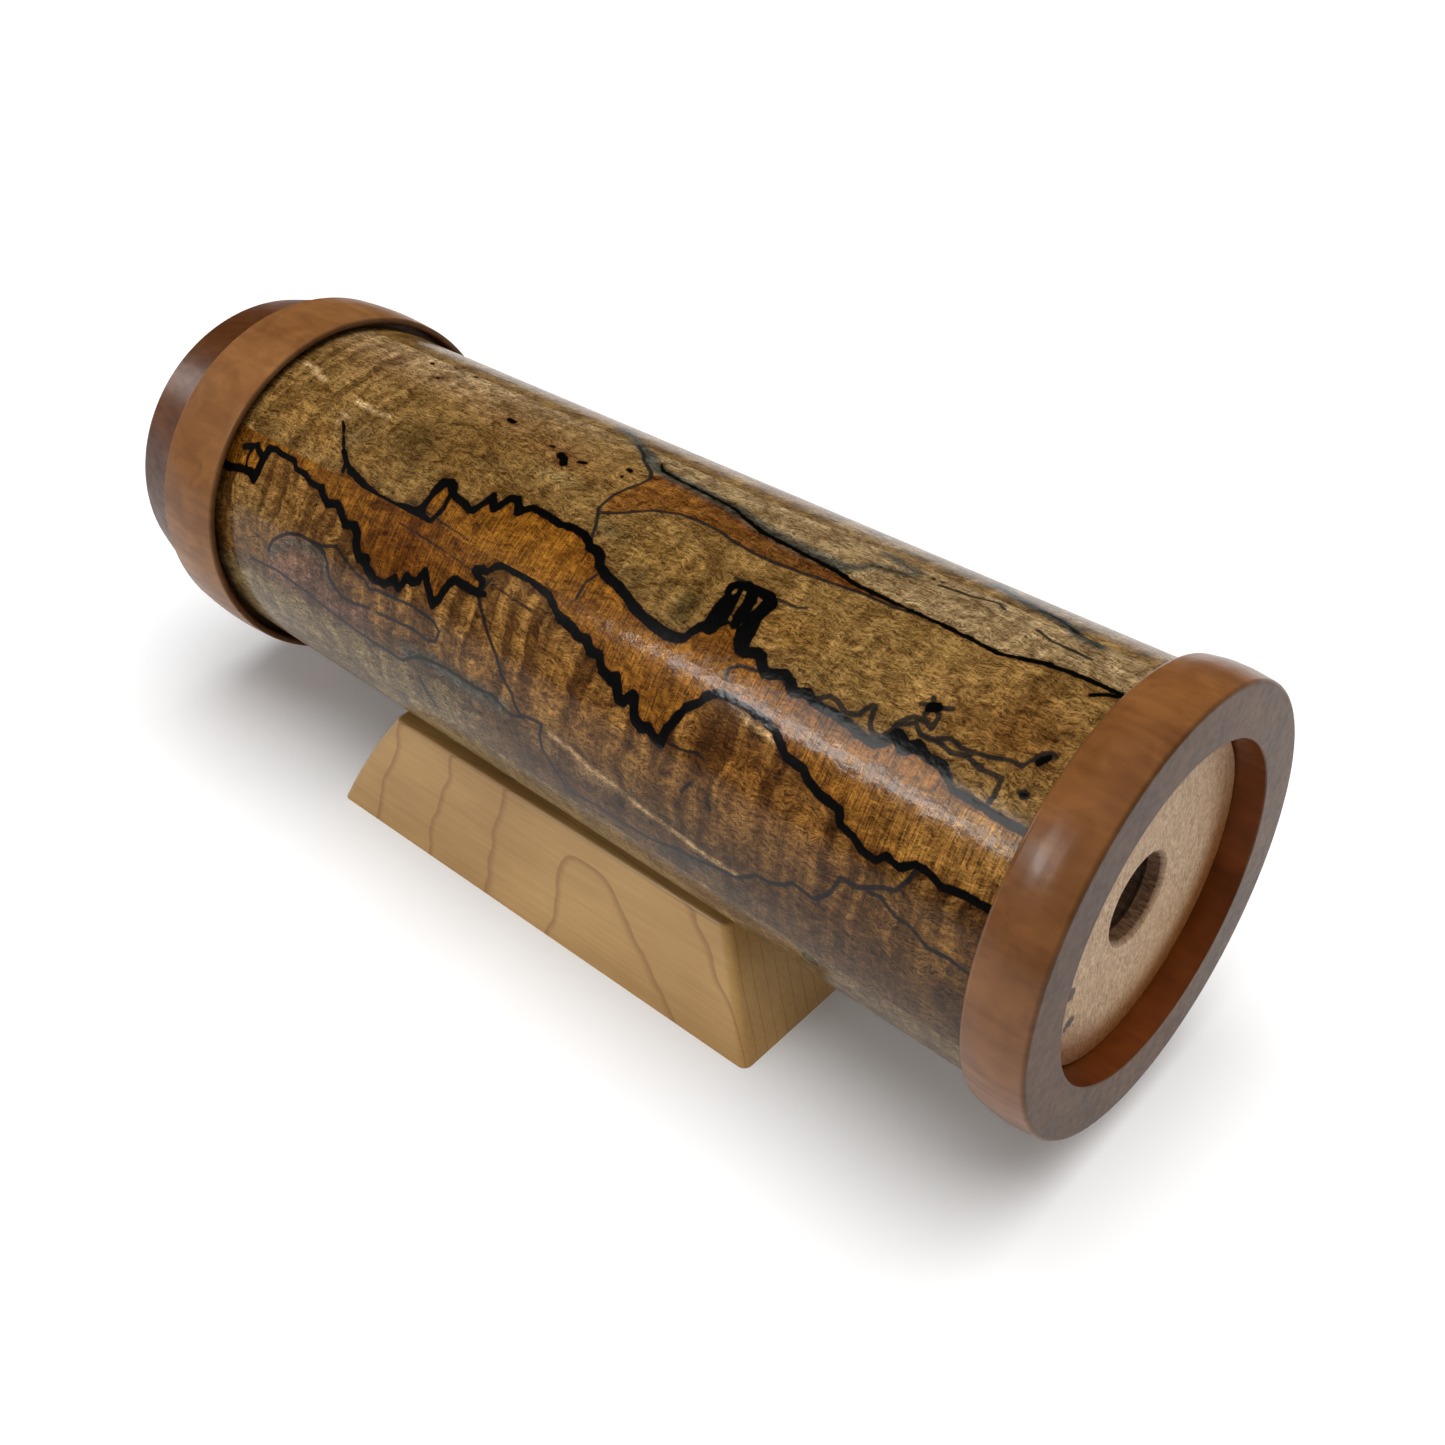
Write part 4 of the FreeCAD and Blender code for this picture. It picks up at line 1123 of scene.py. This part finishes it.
def cell_collar():
    """Cherry collar of the turning cell, faintly crowned."""
    start, end, radius = span("cell_collar")
    wall, cap_wall = 1.8, 2.7
    mouth = radius - wall
    cavity = span("cell_end_cap")[2] - cap_wall
    bearing_bore = SPIGOT_RADIUS + 0.08
    flange_start, flange_end = start + 3.8, start + 10.0
    near_drop, far_drop, crown = 0.5, 0.7, 60.0
    return turned_piece("collar_turning", [
        (start, mouth, 0.55, 0),
        (start, radius - near_drop, 0.55, TURN_PITCH),
        ((start + end) / 2, radius, crown, TURN_PITCH),
        (end, radius - far_drop, 0.4, 0),
        (end, cavity, 0, TURN_PITCH),
        (flange_end, cavity, 0, 0),
        (flange_end, bearing_bore, 0, TURN_PITCH),
        (flange_start, bearing_bore, 0, 0),
        (flange_start, mouth, 0, TURN_PITCH),
    ])


def cell_end_cap():
    """Tapered cherry cap that holds the glass of the object cell."""
    start, end, radius = span("cell_end_cap")
    collar_end = span("cell_collar")[1]
    glass_start = span("cell_inner_glass")[0]
    cell_bore = span("cell_inner_glass")[2] + 0.1
    spigot = radius - 2.75
    spigot_bore = 26.8
    lip_bore, lip = 23.0, 1.5
    taper = 3.8
    return turned_piece("cap_turning", [
        (start, spigot_bore, 0, 0),
        (start, spigot, 0.3, 0),
        (collar_end, spigot, 0, 0),
        (collar_end, radius, 0.5, TURN_PITCH),
        (end, radius - taper, 0.8, TURN_PITCH),
        (end, cell_bore, 0.4, TURN_PITCH),
        (glass_start, cell_bore, 0, 0),
        (glass_start, lip_bore, 0, 0),
        (glass_start - lip, lip_bore, 0, 0),
        (glass_start - lip, spigot_bore, 0, 0),
    ])


for number, stave_name in enumerate(STAVES, start=1):
    finish_piece(stave(number), "scope", stave_name, "spalted_wood")
finish_piece(eyepiece_ring(), "scope", "eyepiece_ring", "ring_wood")
finish_piece(eyepiece_disc(), "scope", "eyepiece_disc", "disc_wood")
finish_piece(cell_collar(), "object_cell", "cell_collar", "collar_wood")
finish_piece(cell_end_cap(), "object_cell", "cell_end_cap", "cap_wood")

for finish_name, node_names in FINISH_NODES:
    for node_name in node_names.split():
        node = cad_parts[node_name]
        node.data.materials.clear()
        node.data.materials.append(FINISHES[finish_name])


# ---------------- floor, light and camera
def studio_floor():
    """Round pale table top, as wide as the overhead light covers evenly, in a white room."""
    radius = 0.78
    sides = 128
    turns = [2 * math.pi * k / sides for k in range(sides)]
    mesh = bpy.data.meshes.new("studio_floor")
    rim = [(radius * math.cos(turn), radius * math.sin(turn), 0) for turn in turns]
    mesh.from_pydata(rim, [], [tuple(range(sides))])
    floor = bpy.data.objects.new("studio_floor", mesh)
    bpy.context.scene.collection.objects.link(floor)
    f = Finish("studio_floor")
    grain = f.noise((0.02, 0.02, 0.02), 2.0)
    f.set(Base_Color=f.shades(grain, (0.93, 0.93, 0.93, 1), (0.95, 0.95, 0.95, 1)))
    f.set(Roughness=0.9, Specular_IOR_Level=0.0)
    mesh.materials.append(f.material)


def panel_light(name, direction, distance, width, height, radiance, colour, mirrored):
    """Soft rectangular light aimed at the scope, sizes in metres.
    A mirrored one only shows in polished surfaces; the others only light what is matt."""
    data = bpy.data.lights.new(name, "AREA")
    data.shape = "RECTANGLE"
    data.size = width
    data.size_y = height
    data.energy = radiance * math.pi * width * height
    data.color = colour
    light = bpy.data.objects.new(name, data)
    target = Vector((0, 0, AXIS_Z * MM))
    way = Vector(direction).normalized()
    light.location = target + way * distance
    light.rotation_mode = "QUATERNION"
    light.rotation_quaternion = way.to_track_quat("Z", "Y")
    light.visible_glossy = mirrored
    light.visible_diffuse = not mirrored
    light.visible_camera = False
    bpy.context.scene.collection.objects.link(light)


def studio_light():
    """Even white surroundings, a broad overhead panel, a soft fill and three mirrored windows."""
    world = bpy.data.worlds.new("studio")
    world.use_nodes = True
    tree = world.node_tree
    tree.nodes.clear()
    kinds = ("TexCoord", "SeparateXYZ", "ValToRGB", "Background", "OutputWorld")
    coords, split, ramp, background, output = (tree.nodes.new("ShaderNode" + kind) for kind in kinds)
    tree.links.new(coords.outputs["Generated"], split.inputs[0])
    tree.links.new(split.outputs["Z"], ramp.inputs[0])
    tree.links.new(ramp.outputs[0], background.inputs[0])
    tree.links.new(background.outputs[0], output.inputs[0])
    for stop, height, grey in zip(ramp.color_ramp.elements, (0.05, 0.5), (1.15, 0.1)):
        stop.position = height
        stop.color = (grey, grey, grey, 1)
    bpy.context.scene.world = world
    world.cycles_visibility.glossy = False
    panel_light("overhead", (0.12, 0.06, 1.0), 1.6, 1.8, 1.8, 3.9, (1, 1, 1), False)
    near, daylight = 1.2, (1.0, 0.98, 0.96)
    panel_light("front_fill", (-0.2, -0.8, 0.55), near, 1.0, 0.8, 1.0, (1, 1, 1), False)
    panel_light("window", (-0.44, -0.69, 0.577), near, 0.36, 0.11, 27.0, (0.98, 0.98, 0.97), True)
    panel_light("upper_window", (-0.38, -0.6, 0.70), near, 0.34, 0.22, 8.5, daylight, True)
    panel_light("far_window", (-0.99, -0.05, 0.13), near, 0.18, 0.14, 14.0, daylight, True)


def studio_camera():
    """Three-quarter view from the eyepiece end, a little above."""
    data = bpy.data.cameras.new("camera")
    data.sensor_width = 36.0
    data.lens = 42.76
    data.shift_x = -0.0233
    data.shift_y = -0.0553
    data.clip_start = 0.01
    camera = bpy.data.objects.new("camera", data)
    azimuth = math.radians(41.37)
    elevation = math.radians(36.08)
    roll = math.radians(-0.51)
    back = Vector((
        math.sin(azimuth) * math.cos(elevation),
        -math.cos(azimuth) * math.cos(elevation),
        math.sin(elevation),
    ))
    level = Vector((math.cos(azimuth), math.sin(azimuth), 0.0))
    upright = back.cross(level)
    right = level * math.cos(roll) + upright * math.sin(roll)
    up = upright * math.cos(roll) - level * math.sin(roll)
    turned = Matrix((right, up, back)).transposed().to_4x4()
    camera.matrix_world = Matrix.Translation((0.1813, -0.1737, 0.2256)) @ turned
    bpy.context.scene.collection.objects.link(camera)
    bpy.context.scene.camera = camera


studio_floor()
studio_light()
studio_camera()
bpy.context.scene.view_settings.view_transform = "Standard"

bpy.context.view_layer.update()
